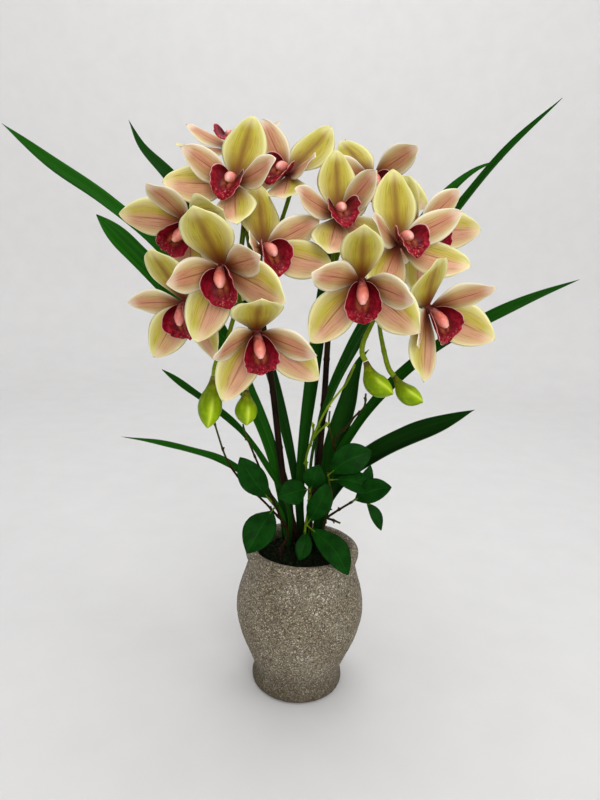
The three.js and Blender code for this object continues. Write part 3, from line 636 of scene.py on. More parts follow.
def tepal_surface(tepal, turn, rise, draw):
    """A tepal leaves the middle at rise degrees off the bloom's plane, and curls on towards its tip."""
    angle = math.radians(tepal["turn"] + turn)
    out = np.array([math.sin(angle), math.cos(angle), 0])
    across = np.array([math.cos(angle), -math.sin(angle), 0])
    front = np.array([0, 0, 1.0])
    low, bow = math.radians(rise), math.radians(TEPAL_CURL)
    phase, sway = draw.uniform(0, 6), draw.uniform(-1, 1)

    def surface(t, s):
        high = low + bow * t
        reach = tepal["length"] / bow * (np.sin(high) - math.sin(low))
        lift = tepal["length"] / bow * (math.cos(low) - np.cos(high))
        normal = front * np.cos(high)[..., None] - out * np.sin(high)[..., None]
        half = tepal["width"] / 2 * tepal_width(t)
        # the rims ruffle a little, the rib lies in a crease, and the tip is pinched and drawn back
        ruffle = 0.9 * np.abs(s) ** 3 * np.sin(9 * t + phase + 1.9 * np.sign(s)) * smooth(t, 0.1, 0.5)
        crease = -0.55 * np.exp(-((s / 0.09) ** 2)) * smooth(t, 1.0, 0.7) * smooth(t, 0.0, 0.2)
        pinch = half * 0.35 * s**2 * smooth(t, 0.8, 1.0) - 1.2 * smooth(t, 0.78, 1.0) ** 2
        height = half * tepal["cup"] * np.abs(s) ** 1.5 + ruffle + crease + pinch
        drift = sway * np.sin(np.pi * t)
        point = (
            out * (TEPAL_START + reach)[..., None]
            + front * (lift + tepal["base"])[..., None]
            + across * (s * half + drift)[..., None]
            + normal * height[..., None]
        )
        return point, normal

    return surface


def tepal_tint(kind, t, s, mood):
    """How lime each place is, how pale, partly with painted light, and how dark with painted shade at
    its base. s is positive on a lateral's upper side.
    """
    wide = np.abs(s)
    if kind == "dorsal":
        lime = 0.5 + 0.5 * smooth(wide, 0.1, 0.55)
    elif kind == "petal":
        lime = smooth(wide, 0.1, 0.85) * (0.45 + mood) + mood * smooth(t, 0.75, 0.1)
    else:
        lime = 0.25 * smooth(wide, 0.2, 0.9) + smooth(s + 0.35 * (mood - 0.2), -0.2, 0.55)
    # the rims and the tip are paler: partly the tissue's own cream and partly painted light glowing through
    # the thin edge
    pale_rim_and_glow = 0.35 * smooth(wide, 0.4, 0.9) + 0.65 * smooth(wide, 0.84, 0.95)
    tip = 0.45 * smooth(t, 0.75, 0.95) + 0.5 * smooth(t, 0.95, 1.0)
    pale_rim_and_glow = np.maximum(pale_rim_and_glow, tip) * smooth(t, 0.02, 0.2)
    # painted shade near the base, in the bloom's heart
    heart_shade = 0.9 * np.exp(-((t / 0.19) ** 2)) * (1 - 0.3 * wide)
    return np.stack([np.clip(lime, 0, 1), pale_rim_and_glow, heart_shade], -1)


def tepal_tissue(name, rosy, lime, rim, rib, rib_reach, rib_width, rib_depth):
    """Thick orchid tissue: satin, faintly see-through, with fine veins that run from base to tip and a
    darker rib down its middle. tint says how lime each place is, how pale, partly with painted light,
    and how dark with painted shade at its base."""
    material, shader = new_material(
        name,
        {"Roughness": 0.5, "Specular IOR Level": 0.16, "Subsurface Weight": 0.12,
         "Subsurface Radius": (1.0, 0.7, 0.3), "Subsurface Scale": 1.5 * MM},
    )
    spot = add_node(material, "Attribute", attribute_name="spot")
    axes = add_node(material, "SeparateXYZ", {0: spot.outputs["Vector"]})
    tint = add_node(
        material, "SeparateXYZ", {0: add_node(material, "Attribute", attribute_name="tint").outputs[1]}
    )
    fine = add_node(material, "Mapping", {"Vector": spot.outputs["Vector"], "Scale": (3.5, 22.0, 3.0)})
    veins = add_node(
        material, "TexNoise", {"Vector": fine.outputs[0], "Scale": 1.0, "Detail": 3.5, "Roughness": 0.62}
    )
    cloudy = add_node(material, "Mapping", {"Vector": spot.outputs["Vector"], "Scale": (3.0, 2.6, 5.0)})
    clouds = add_node(material, "TexNoise", {"Vector": cloudy.outputs[0], "Scale": 1.0, "Detail": 2.0})
    drift = add_node(
        material, "MapRange",
        {"Value": clouds.outputs["Fac"], "From Min": 0.3, "From Max": 0.7, "To Min": -0.22,
         "To Max": 0.22},
    )
    limeness = add_node(
        material, "Math", {0: tint.outputs["X"], 1: drift.outputs[0]}, operation="ADD", use_clamp=True
    )
    body = add_node(
        material, "Mix", {0: limeness.outputs[0], 6: linear(rosy), 7: linear(lime)}, data_type="RGBA"
    )
    # the colour is darker near the base, partly the tissue's own deeper colour and partly painted shade
    # in the bloom's heart, and pales outwards
    depth = add_node(
        material, "ValToRGB", {"Fac": axes.outputs["X"]},
        stops=[(0.0, "#8c5a3c"), (1.0, "#ffffff"), (0.22, "#c8a486"), (0.42, "#f4ebe0")],
    )
    body = add_node(
        material, "Mix", {0: 1.0, 6: body.outputs[2], 7: depth.outputs["Color"]},
        data_type="RGBA", blend_type="MULTIPLY",
    )
    # veins stand out where the tissue is rosy, as faint red-brown streaks
    streak = add_node(
        material, "MapRange",
        {"Value": veins.outputs["Fac"], "From Min": 0.5, "From Max": 0.68, "To Min": 0.0, "To Max": 0.5},
    )
    veined = add_node(
        material, "Mix", {0: streak.outputs[0], 6: body.outputs[2], 7: linear(rib)}, data_type="RGBA"
    )
    # tint Y pales the rim and tip: partly the tissue's own cream and partly painted light glowing through
    # it
    rimmed = add_node(
        material, "Mix", {0: tint.outputs["Y"], 6: veined.outputs[2], 7: linear(rim)}, data_type="RGBA"
    )
    span = add_node(material, "Math", {0: axes.outputs["Y"]}, operation="ABSOLUTE")
    wander = add_node(
        material, "Math", {0: veins.outputs["Fac"], 1: rib_width * 0.7, 2: span.outputs[0]},
        operation="MULTIPLY_ADD",
    )
    rib_core = add_node(
        material, "MapRange",
        {"Value": wander.outputs[0], "From Min": rib_width * 1.35, "From Max": rib_width * 0.3,
         "To Min": 0.0, "To Max": rib_depth},
        interpolation_type="SMOOTHSTEP",
    )
    rib_fade = add_node(
        material, "MapRange",
        {"Value": axes.outputs["X"], "From Min": rib_reach, "From Max": rib_reach - 0.35, "To Min": 0.0,
         "To Max": 1.0},
    )
    rib_mask = add_node(
        material, "Math", {0: rib_core.outputs[0], 1: rib_fade.outputs[0]}, operation="MULTIPLY"
    )
    ribbed = add_node(
        material, "Mix", {0: rib_mask.outputs[0], 6: rimmed.outputs[2], 7: linear(rib)}, data_type="RGBA"
    )
    # tint Z is painted shade: dark maroon at the base, in the bloom's heart
    heart_shaded = add_node(
        material, "Mix", {0: tint.outputs["Z"], 6: ribbed.outputs[2], 7: linear("#5c1412")},
        data_type="RGBA",
    )
    wire(material, heart_shaded.outputs[2], shader.inputs["Base Color"])
    bump = add_node(
        material, "Bump", {"Height": veins.outputs["Fac"], "Strength": 0.25, "Distance": 0.35 * MM}
    )
    wire(material, bump.outputs["Normal"], shader.inputs["Normal"])
    return material


def stem_tissue():
    # Stem skin: smooth, a little waxy, and fibrous along its length. tint runs it from the brown-black
    # of an old cane, over olive, to the yellow-green of new growth.
    material, shader = new_material("stem_skin", {"Roughness": 0.5, "Specular IOR Level": 0.05})
    spot = add_node(material, "Attribute", attribute_name="spot")
    tint = add_node(
        material, "SeparateXYZ", {0: add_node(material, "Attribute", attribute_name="tint").outputs[1]}
    )
    stretched = add_node(
        material, "Mapping", {"Vector": spot.outputs["Vector"], "Scale": (26.0, 2.6, 1.0)}
    )
    fibres = add_node(material, "TexNoise", {"Vector": stretched.outputs[0], "Scale": 1.0, "Detail": 3.0})
    shade = add_node(
        material, "MapRange",
        {"Value": fibres.outputs["Fac"], "From Min": 0.3, "From Max": 0.7, "To Min": -0.09,
         "To Max": 0.09},
    )
    age = add_node(
        material, "Math", {0: tint.outputs["X"], 1: shade.outputs[0]}, operation="ADD", use_clamp=True
    )
    colour = add_node(
        material, "ValToRGB", {"Fac": age.outputs[0]},
        stops=[(0.0, "#0e0805"), (1.0, "#98a626"), (0.22, "#26170b"), (0.45, "#33430c"),
               (0.7, "#607a14")],
    )
    wire(material, colour.outputs["Color"], shader.inputs["Base Color"])
    bump = add_node(
        material, "Bump", {"Height": fibres.outputs["Fac"], "Strength": 0.4, "Distance": 0.3 * MM}
    )
    wire(material, bump.outputs["Normal"], shader.inputs["Normal"])
    return material


def bloom_matrix(bloom):
    """Faces a bloom yaw degrees right of the front and pitch degrees up, with its top rolled clockwise."""
    turned = (
        Matrix.Rotation(math.radians(bloom["yaw"]), 3, "Z")
        @ Matrix.Rotation(math.radians(90 - bloom["pitch"]), 3, "X")
        @ Matrix.Rotation(math.radians(-bloom["roll"]), 3, "Z")
    )
    return np.array(turned)


def placed(shape, bloom):
    shape["points"] = shape["points"] @ bloom_matrix(bloom).T + np.array(bloom["at"])
    return shape


tepal_materials = [
    tepal_tissue("dorsal_sepal_tissue", "#a27c34", "#bfb842", "#fbf8bc", "#744618", 0.98, 0.24, 0.6),
    tepal_tissue("petal_tissue", "#ce9476", "#c8b874", "#fff8e0", "#86382a", 0.92, 0.06, 0.8),
    tepal_tissue("lateral_sepal_tissue", "#d8a688", "#bfb844", "#fbf8c4", "#8a4430", 0.9, 0.05, 0.8),
]
stem_skin = stem_tissue()
bloom_draw = random.Random(47)
for side, blooms in BLOOMS.items():
    for i, bloom in enumerate(blooms, 1):
        shapes = []
        for tepal, rise, turn in zip(TEPALS, bloom["rise"], bloom["turn"]):
            width = bloom.get("dorsal", tepal["width"]) if tepal["kind"] == "dorsal" else tepal["width"]
            lay = tepal_surface({**tepal, "width": width}, turn, rise, bloom_draw)
            shape = blade(lay, *TEPAL_GRID, TEPAL_THICKNESS)
            shape["spot"][:, 2] = bloom_draw.uniform(0, 9)
            # the lime side of a lateral sepal is its upper one, left or right
            upper = shape["spot"][:, 1] * (-1 if tepal["turn"] > 90 else 1)
            shape["tint"] = tepal_tint(
                tepal["kind"], shape["spot"][:, 0], upper, bloom_draw.uniform(0.1, 0.5)
            )
            shape["material"] = KINDS.index(tepal["kind"])
            shapes.append(placed(shape, bloom))
        points, faces = tube(
            np.array(RECEPTACLE, float), np.array(RECEPTACLE_RADII), RECEPTACLE_SIDES
        )
        # green behind, and in front as dark with painted shade as the bases of the sepals round it
        tint = np.repeat([(1, 0, 0), (1, 0, 0.1), (1, 0, 0.8), (1, 0, 1)], RECEPTACLE_SIDES, axis=0)
        spot = np.tile((1.0, 0.5, 0.0), (len(points), 1))
        shapes.append(placed({"points": points, "faces": faces, "spot": spot, "tint": tint}, bloom))
        piece = assemble(f"{side}_bloom_{i}_sepals_and_petals", shapes, tepal_materials)
        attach(piece, "root")
        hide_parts(f"bloom_{side}_{i}_tepals")

# ---- Lips and columns ------------------------------------------------------------------------------
# The lip is the bloom's third petal: a crimson scoop that wraps up round the column, with a ruffled,
# speckled front lobe that turns down and two raised keels in its throat. The column lies over it.
LIP_LENGTH = 29.5
LIP_REACH = 1.07  # the front lobe's rounded end, as a share of that length
LIP_FOOT = (-1.5, 4)
LIP_LEAN = (22, 80)  # degrees down from straight ahead at its foot, and how many more further on
LIP_RADIUS = (3.5, 10.4)  # at its foot, and how much wider it flares
LIP_WRAP = (112, 84)  # degrees that each side wraps at its foot, and how many fewer in front
LIP_STEPS = 200
LIP_GRID = (42, 37)
LOBE_START = 0.74
COLUMN_LINE = [(0, 0, 1), (0, 0, 5), (0, -3, 12), (0, -8.5, 18.5)]
COLUMN_SHARES = [0, 0.2, 0.45, 0.72, 0.88, 1]  # of its length, where its radius is given
COLUMN_RADII = [2.6, 3.4, 4.3, 4.8, 4.3, 2.6]
COLUMN_DOME = [25, 50, 70, 84]  # degrees round its tip, for the rings that close it
COLUMN_ROWS = 26
COLUMN_SIDES = 20


def lip_surface(draw):
    """The scoop leaves the column's foot, runs forward and bends down to its tip."""
    seed = draw.uniform(0, 50)
    steps = np.linspace(0, LIP_REACH, LIP_STEPS)
    lean_at = np.radians(LIP_LEAN[0] + LIP_LEAN[1] * steps)
    step = LIP_LENGTH * LIP_REACH / (LIP_STEPS - 1)
    between = (lean_at[1:] + lean_at[:-1]) / 2
    down = LIP_FOOT[0] - np.concatenate([[0], np.cumsum(np.sin(between) * step)])
    ahead = LIP_FOOT[1] + np.concatenate([[0], np.cumsum(np.cos(between) * step)])

    def surface(v, s):
        t = v * LIP_REACH
        lean = np.radians(LIP_LEAN[0] + LIP_LEAN[1] * t)
        radius = LIP_RADIUS[0] + LIP_RADIUS[1] * np.sin(np.pi / 2 * np.minimum(1.6 * t, 1))
        wrap = np.radians(LIP_WRAP[0] - LIP_WRAP[1] * np.minimum(t, 1) ** 1.6)
        # the front lobe is rounded off, and a notch each side parts it from the side lobes
        beyond = np.maximum(t - LOBE_START, 0) / (LIP_REACH - LOBE_START)
        lobe = np.sqrt(np.clip(1 - beyond**2.4, 0.0004, 1))
        notch = 1 - 0.1 * np.exp(-(((t - 0.7) / 0.05) ** 2))
        turned = s * wrap * lobe * notch
        inward = np.stack([0 * t, np.cos(lean), np.sin(lean)], -1)
        sideways = np.array([1.0, 0, 0])
        base = np.stack([0 * t, np.interp(t, steps, down), np.interp(t, steps, ahead)], -1)
        point = base + sideways * (radius * np.sin(turned))[..., None]
        point = point + inward * (radius * (1 - np.cos(turned)))[..., None]
        normal = inward * np.cos(turned)[..., None] - sideways * np.sin(turned)[..., None]
        # ruffles grow towards the rim, and the front lobe is wrinkled all over
        rim = np.clip(np.maximum(np.abs(s) ** 4, smooth(t, 0.82, LIP_REACH)) * smooth(t, 0.25, 0.6), 0, 1)
        where = point.reshape(-1, 3)
        ruffle = 2.4 * rim * fine_noise(where, 4.6, seed).reshape(t.shape)
        wrinkle = 0.75 * smooth(t, 0.45, 0.7) * fine_noise(where, 2.3, seed + 7).reshape(t.shape)
        arc = np.abs(turned) * radius
        keels = 1.5 * np.exp(-(((arc - 1.9) / 0.8) ** 2)) * smooth(t, 0.1, 0.25) * smooth(t, 0.7, 0.56)
        return point + normal * (ruffle + wrinkle + keels)[..., None], normal

    return surface


def lip_tissue():
    # Satin crimson tissue, darkened in the throat by painted shade. The front lobe is blotched blood red
    # and mottled with salmon, the keels are amber, and the thin rim is pale pink.
    material, shader = new_material("lip_tissue", {"Roughness": 0.3, "Specular IOR Level": 0.08})
    place = add_node(material, "TexCoord").outputs["Object"]
    spot = add_node(material, "Attribute", attribute_name="spot")
    axes = add_node(material, "SeparateXYZ", {0: spot.outputs["Vector"]})
    tint = add_node(
        material, "SeparateXYZ", {0: add_node(material, "Attribute", attribute_name="tint").outputs[1]}
    )
    blotches = add_node(
        material, "TexNoise",
        {"Vector": place, "Scale": PATTERN_SCALE / 3.4, "Detail": 3.0, "Roughness": 0.65},
    )
    red = add_node(
        material, "ValToRGB", {"Fac": blotches.outputs["Fac"]},
        stops=[(0.3, "#5c0610"), (0.68, "#b01c36"), (0.48, "#860e20")],
    )
    # tint Z is painted shade in the throat
    throat_shaded = add_node(
        material, "Mix", {0: tint.outputs["Z"], 6: red.outputs["Color"], 7: linear("#460408")},
        data_type="RGBA",
    )
    specks = add_node(
        material, "TexNoise",
        {"Vector": place, "Scale": PATTERN_SCALE / 2, "Detail": 3.0, "Roughness": 0.6},
    )
    speck_mask = add_node(
        material, "MapRange",
        {"Value": specks.outputs["Fac"], "From Min": 0.58, "From Max": 0.68, "To Min": 0.0,
         "To Max": 0.8},
    )
    front = add_node(
        material, "Math", {0: speck_mask.outputs[0], 1: tint.outputs["X"]}, operation="MULTIPLY"
    )
    speckled = add_node(
        material, "Mix", {0: front.outputs[0], 6: throat_shaded.outputs[2], 7: linear("#e08a7c")},
        data_type="RGBA",
    )
    amber = add_node(
        material, "Math", {0: tint.outputs["Y"], 1: blotches.outputs["Fac"]}, operation="MULTIPLY"
    )
    keeled = add_node(
        material, "Mix", {0: amber.outputs[0], 6: speckled.outputs[2], 7: linear("#c9703c")},
        data_type="RGBA",
    )
    rim = add_node(
        material, "MapRange",
        {"Value": axes.outputs["Z"], "From Min": 0.95, "From Max": 0.985, "To Min": 0.0, "To Max": 0.85},
    )
    rimmed = add_node(
        material, "Mix", {0: rim.outputs[0], 6: keeled.outputs[2], 7: linear("#ecbab2")}, data_type="RGBA"
    )
    wire(material, rimmed.outputs[2], shader.inputs["Base Color"])
    bump = add_node(
        material, "Bump", {"Height": specks.outputs["Fac"], "Strength": 0.5, "Distance": 0.5 * MM}
    )
    wire(material, bump.outputs["Normal"], shader.inputs["Normal"])
    return material


def column_tissue():
    # The column's waxy flesh: crimson at its foot, darkened there by painted shade in the throat, salmon
    # further out, with a paler cap over its tip.
    material, shader = new_material(
        "column_tissue",
        {"Roughness": 0.28, "Specular IOR Level": 0.45, "Subsurface Weight": 0.15,
         "Subsurface Radius": (1.0, 0.4, 0.3), "Subsurface Scale": 2 * MM},
    )
    axes = add_node(
        material, "SeparateXYZ",
        {0: add_node(material, "Attribute", attribute_name="spot").outputs["Vector"]},
    )
    # dark towards the foot: crimson flesh under painted shade in the throat
    colour = add_node(
        material, "ValToRGB", {"Fac": axes.outputs["X"]},
        stops=[(0.15, "#5e0e10"), (1.0, "#fac4b8"), (0.36, "#a43029"), (0.55, "#dd6a58"),
               (0.8, "#f09486")],
    )
    place = add_node(material, "TexCoord").outputs["Object"]
    mottle = add_node(material, "TexNoise", {"Vector": place, "Scale": PATTERN_SCALE / 3, "Detail": 2.0})
    mottled = add_node(
        material, "MapRange",
        {"Value": mottle.outputs["Fac"], "From Min": 0.35, "From Max": 0.7, "To Min": 0.0,
         "To Max": 0.35},
    )
    final = add_node(
        material, "Mix", {0: mottled.outputs[0], 6: colour.outputs["Color"], 7: linear("#f4b5a4")},
        data_type="RGBA",
    )
    wire(material, final.outputs[2], shader.inputs["Base Color"])
    return material


def make_column():
    place, _, _ = curve_through(COLUMN_LINE)
    t = np.linspace(0, 1, COLUMN_ROWS)
    radius = np.interp(t, COLUMN_SHARES, COLUMN_RADII)
    centres = place(t)
    tip_way = centres[-1] - centres[-2]
    tip_way /= np.linalg.norm(tip_way)
    dome = np.radians(COLUMN_DOME)
    centres = np.vstack([centres, centres[-1] + tip_way * 1.8 * np.sin(dome)[:, None]])
    radius = np.concatenate([radius, COLUMN_RADII[-1] * np.cos(dome)])
    # a waist parts the cap from the column's back
    radius = radius * (1 - 0.09 * np.exp(-(((np.linspace(0, 1.1, len(radius)) - 0.82) / 0.03) ** 2)))
    points, faces = tube(centres, radius[:, None], COLUMN_SIDES)
    along = np.repeat(np.linspace(0, 1, len(radius)), COLUMN_SIDES)
    spot = np.stack([along, 0 * along, 0 * along], -1)
    return {"points": points, "faces": faces, "spot": spot, "material": 1}


def lifted(shape, bloom):
    """In some blooms the lip and the column are tipped further up than the tepals round them."""
    swing = Matrix.Rotation(math.radians(-bloom.get("lift", 0)), 3, "X")
    shape["points"] = shape["points"] @ np.array(swing).T
    return placed(shape, bloom)


lip_materials = [lip_tissue(), column_tissue()]
lip_draw = random.Random(59)
for side, blooms in BLOOMS.items():
    for i, bloom in enumerate(blooms, 1):
        lip = blade(lip_surface(lip_draw), *LIP_GRID, TEPAL_THICKNESS)
        t, s = lip["spot"][:, 0], np.abs(lip["spot"][:, 1])
        lip["spot"][:, 2] = np.maximum(s, smooth(t, 0.9, 1.0) * 0.98)
        front = smooth(t, 0.58, 0.84) * (1 - 0.5 * smooth(s, 0.5, 1))
        amber = np.exp(-(((s - 0.14) / 0.1) ** 2)) * smooth(t, 0.12, 0.3) * smooth(t, 0.72, 0.5)
        # painted shade in the throat and along the floor of the scoop, under the column
        dark = np.maximum(0.9 * smooth(t, 0.55, 0.15), 0.75 * smooth(s, 0.8, 0.3) * smooth(t, 0.9, 0.55))
        lip["tint"] = np.stack([front, 0.9 * amber, dark], -1) * (1 - lip["underside"])[:, None]
        shapes = [lifted(lip, bloom), lifted(make_column(), bloom)]
        piece = assemble(f"{side}_bloom_{i}_lip_and_column", shapes, lip_materials)
        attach(piece, "root")
        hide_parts(f"bloom_{side}_{i}_lip")

# ---- Buds ------------------------------------------------------------------------------------------
# Four closed flowers hang at the tips of the spikes. Three sepals wrap each one edge to edge, so it is
# faintly three-cornered, with a sunken seam between each two corners and a sharp tip.
BUDS = {
    "left": [
        {"joins": 1, "stalk": [(-81, -47, 341), (-83.4, -50, 327)], "tip": (-88, -54, 281),
         "belly": (0, 0, 0), "radius": 10.4},
        {"joins": 1, "stalk": [(-63, -49, 333), (-55.3, -52, 316)], "tip": (-54, -54, 285),
         "belly": (0, 0, 0), "radius": 9.6},
    ],
    "right": [
        {"joins": 0.98, "stalk": [(49, -46, 374), (44, -48, 362), (46.5, -51, 345)], "tip": (71, -58, 319),
         "belly": (-4.1, 0, -3.6), "radius": 9.4},
        {"joins": 1, "stalk": [(59, -47, 365), (72, -51, 333)], "tip": (97, -58, 313),
         "belly": (-2.2, 0, -2.8), "radius": 8.4},
    ],
}
BUD_GIRTH = [0.25, 0.36, 0.56, 0.8, 0.96, 1, 0.88, 0.58, 0.05]
BUD_SIDES = 48
BUD_ROWS = 44


def bud_line(bud):
    """The curve down a bud's middle, from its neck to its tip. Its belly bulges to one side."""
    neck, tip = np.array(bud["stalk"][-1], float), np.array(bud["tip"])
    return curve_through([neck, (neck + tip) / 2 + np.array(bud["belly"]), tip])


def bud_skin():
    # Smooth unripe sepal: glossy lime, olive at the seams and, as painted shade, on one side, browner and
    # darker towards the stalk, partly its own colour and partly painted shade from the blooms above, with
    # a painted highlight down one ridge.
    material, shader = new_material(
        "bud_skin",
        {"Roughness": 0.33, "Specular IOR Level": 0.12, "Subsurface Weight": 0.1,
         "Subsurface Radius": (0.6, 1.0, 0.2), "Subsurface Scale": 2 * MM},
    )
    axes = add_node(
        material, "SeparateXYZ",
        {0: add_node(material, "Attribute", attribute_name="spot").outputs["Vector"]},
    )
    # darker and browner towards the neck: partly the bud's own colour and partly painted shade from the
    # blooms above
    along = add_node(
        material, "ValToRGB", {"Fac": axes.outputs["X"]},
        stops=[(0.0, "#4a3010"), (1.0, "#a6c200"), (0.1, "#565206"), (0.36, "#6c8400"),
               (0.75, "#8aac00")],
    )
    # spot Z: the dark seams, and painted shade on one side
    seams_and_side_shade = add_node(
        material, "Mix", {0: axes.outputs["Z"], 6: along.outputs["Color"], 7: linear("#587400")},
        data_type="RGBA",
    )
    place = add_node(material, "TexCoord").outputs["Object"]
    mottle = add_node(material, "TexNoise", {"Vector": place, "Scale": PATTERN_SCALE / 5, "Detail": 3.0})
    flushed = add_node(
        material, "MapRange",
        {"Value": mottle.outputs["Fac"], "From Min": 0.45, "From Max": 0.75, "To Min": 0.0,
         "To Max": 0.45},
    )
    final = add_node(
        material, "Mix", {0: flushed.outputs[0], 6: seams_and_side_shade.outputs[2], 7: linear("#a4c008")},
        data_type="RGBA",
    )
    # spot Y is a painted highlight down one ridge
    ridge_highlighted = add_node(
        material, "Mix", {0: axes.outputs["Y"], 6: final.outputs[2], 7: linear("#d4e44a")},
        data_type="RGBA",
    )
    wire(material, ridge_highlighted.outputs[2], shader.inputs["Base Color"])
    bump = add_node(
        material, "Bump", {"Height": mottle.outputs["Fac"], "Strength": 0.2, "Distance": 0.5 * MM}
    )
    wire(material, bump.outputs["Normal"], shader.inputs["Normal"])
    return material


bud_green = bud_skin()
for side, buds in BUDS.items():
    for i, bud in enumerate(buds, 1):
        place, _, _ = bud_line(bud)
        t = np.linspace(0, 1, BUD_ROWS)
        girth, _, _ = curve_through([(r, 0, step / 8) for step, r in enumerate(BUD_GIRTH)])
        fine = girth(np.linspace(0, 1, 200))
        turn = np.arange(BUD_SIDES) * 2 * math.pi / BUD_SIDES
        corner = (0.5 + 0.5 * np.cos(3 * turn)) ** 6
        seam = np.exp(-(((np.degrees(turn) % 120 - 60) / 5) ** 2))
        # a painted highlight down the ridge that faces the front
        ridge_highlight = np.exp(-(((turn + 0.3) % (2 * math.pi) / 0.16 - 2) ** 2))
        # painted shade on one side of the bud
        painted_side_shade = smooth(np.sin(turn - 0.1), -0.05, 0.6)
        swell = smooth(t, 0.05, 0.4)[:, None]
        girths = np.interp(t, fine[:, 2], fine[:, 0])[:, None]
        radii = bud["radius"] * girths * (1 + (0.08 * corner - 0.05 * seam) * swell)
        points, faces = tube(place(t), radii, BUD_SIDES, sideways=(0.3, -1, 0.2))
        spot = np.stack(
            [
                np.repeat(t, BUD_SIDES),
                (0.75 * ridge_highlight * smooth(t, 0.3, 0.6)[:, None]).ravel(),
                (np.maximum(0.7 * seam, 0.6 * painted_side_shade) * swell).ravel(),
            ],
            -1,
        )
        piece = assemble(f"{side}_bud_{i}", [{"points": points, "faces": faces, "spot": spot}], [bud_green])
        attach(piece, "root")
        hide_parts(f"bud_{side}_{i}")

# ---- Flower spikes ---------------------------------------------------------------------------------
# Each spike is one cane that arches over and hangs, brown-black and jointed below and green above. A
# stalk springs from it to every bloom and bud, and a bloom's comes out of the corner of a dry bract.
SPIKES = {
    "left": {"root": (-5, 3), "cane": [
        (-11, 3, 172), (-21, 4, 214), (-36, 7, 312), (-50, 8, 390), (-58, 5, 444), (-62, -5, 470),
        (-62, -22, 472), (-62, -34, 452), (-64, -40, 424), (-66, -42, 388), (-73, -44, 358)]},
    "right": {"root": (5, 2), "cane": [
        (6, 2, 172), (12, 3, 232), (15, 7, 297), (16, 10, 365), (19, 10, 428), (30, 4, 458), (44, -10, 460),
        (54, -26, 450), (58, -34, 432), (58, -38, 405), (56, -42, 382)]},
}
CANE_RADIUS = 3.6
STALK_RADIUS = 1.6
CANE_JOINTS = (0.1, 0.215, 0.335, 0.44)
BACK = 5  # how far behind a bloom's middle its stalk ends
GAP = 0.3  # left between a stalk's end and what it carries
BRACT_LENGTH = 7
BRACT_THICKNESS = 0.5
BRACT_GRID = (9, 7)
BRACT_AGE = 0.3


def stalk(line, radius_at, age_at, rows, sides=12):
    """A round stalk along a line of points. radius_at and age_at give its radius and its green at t."""
    place, _, _ = curve_through(line)
    t = np.linspace(0, 1, rows)
    points, faces = tube(place(t), radius_at(t)[:, None], sides, sideways=(0.2, 1, 0.1))
    turn = np.tile(np.arange(sides) / sides, rows)
    along = np.repeat(t, sides)
    spot = np.stack([along, np.abs(turn - 0.5) * 4, 0 * along], -1)
    tint = np.stack([np.repeat(age_at(t) + 0 * t, sides), 0 * along, 0 * along], -1)
    return {"points": points, "faces": faces, "spot": spot, "tint": tint}


def bract(foot, way):
    """A small dry scale leaf that clasps the cane under a stalk."""
    lay = keeled_surface(
        [foot - way * 1.5, foot + way * BRACT_LENGTH * 0.5, foot + way * BRACT_LENGTH],
        lambda t: BRACT_LENGTH * 0.3 * np.sqrt(np.clip(1 - t**2, 0.002, 1)), (0.2, -1, 0.4), 0.6,
    )
    shape = blade(lay, *BRACT_GRID, BRACT_THICKNESS)
    shape["tint"] = np.tile((BRACT_AGE, 0, 0), (len(shape["points"]), 1))
    return shape


for side, spike in SPIKES.items():
    cane_line = [(*spike["root"], MOSS_TOP + 1), *spike["cane"]]
    cane_place, cane_way, _ = curve_through(cane_line)

    def cane_radius(t):
        rings = sum(np.exp(-(((t - joint) / 0.0035) ** 2)) for joint in CANE_JOINTS)
        return (CANE_RADIUS - 1.7 * t) * (1 + 0.16 * rings)

    def cane_age(t):
        return 0.04 + 0.12 * np.sin(t * 31) ** 2 + 0.46 * smooth(t, 0.42, 0.6) + 0.12 * smooth(t, 0.7, 1)

    foot = peg(spike["root"], 3)
    foot["tint"] = np.tile((0.1, 0, 0), (len(foot["points"]), 1))
    shapes = [foot, stalk(cane_line, cane_radius, cane_age, rows=330, sides=14)]
    for bloom in BLOOMS[side]:
        facing = bloom_matrix(bloom) @ np.array([0, 0, 1.0])
        end = np.array(bloom["at"]) - facing * (BACK + GAP)
        start = cane_place(np.array(bloom["joins"]))
        pull = min(np.linalg.norm(end - start) * 0.35, 12)
        line = [start, *bloom.get("via", []), end - facing * pull, end]
        shapes.append(
            stalk(line, lambda t: STALK_RADIUS + 0.6 * t + 0.5 * np.exp(-((t / 0.04) ** 2)),
                  lambda t: 0.52 + 0.2 * t, rows=40)
        )
        outward = cane_way(np.array(bloom["joins"])) + (line[1] - start) / np.linalg.norm(line[1] - start)
        shapes.append(bract(start, outward / np.linalg.norm(outward)))
    for bud in BUDS[side]:
        neck = np.array(bud["stalk"][-1], float)
        axis = bud_line(bud)[1](np.array(0.0))
        start = cane_place(np.array(float(bud["joins"])))
        line = [start, *bud["stalk"][:-1], neck - axis * 8, neck - axis * 2 * GAP]
        shapes.append(
            stalk(line, lambda t: STALK_RADIUS + 0.8 * t + 0.35 * np.exp(-(((t - 0.55) / 0.02) ** 2)),
                  lambda t: 0.66 + 0.16 * t, rows=44)
        )
    piece = assemble(f"{side}_flower_spike", shapes, [stem_skin])
    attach(piece, "root")
    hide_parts(f"spike_{side}")

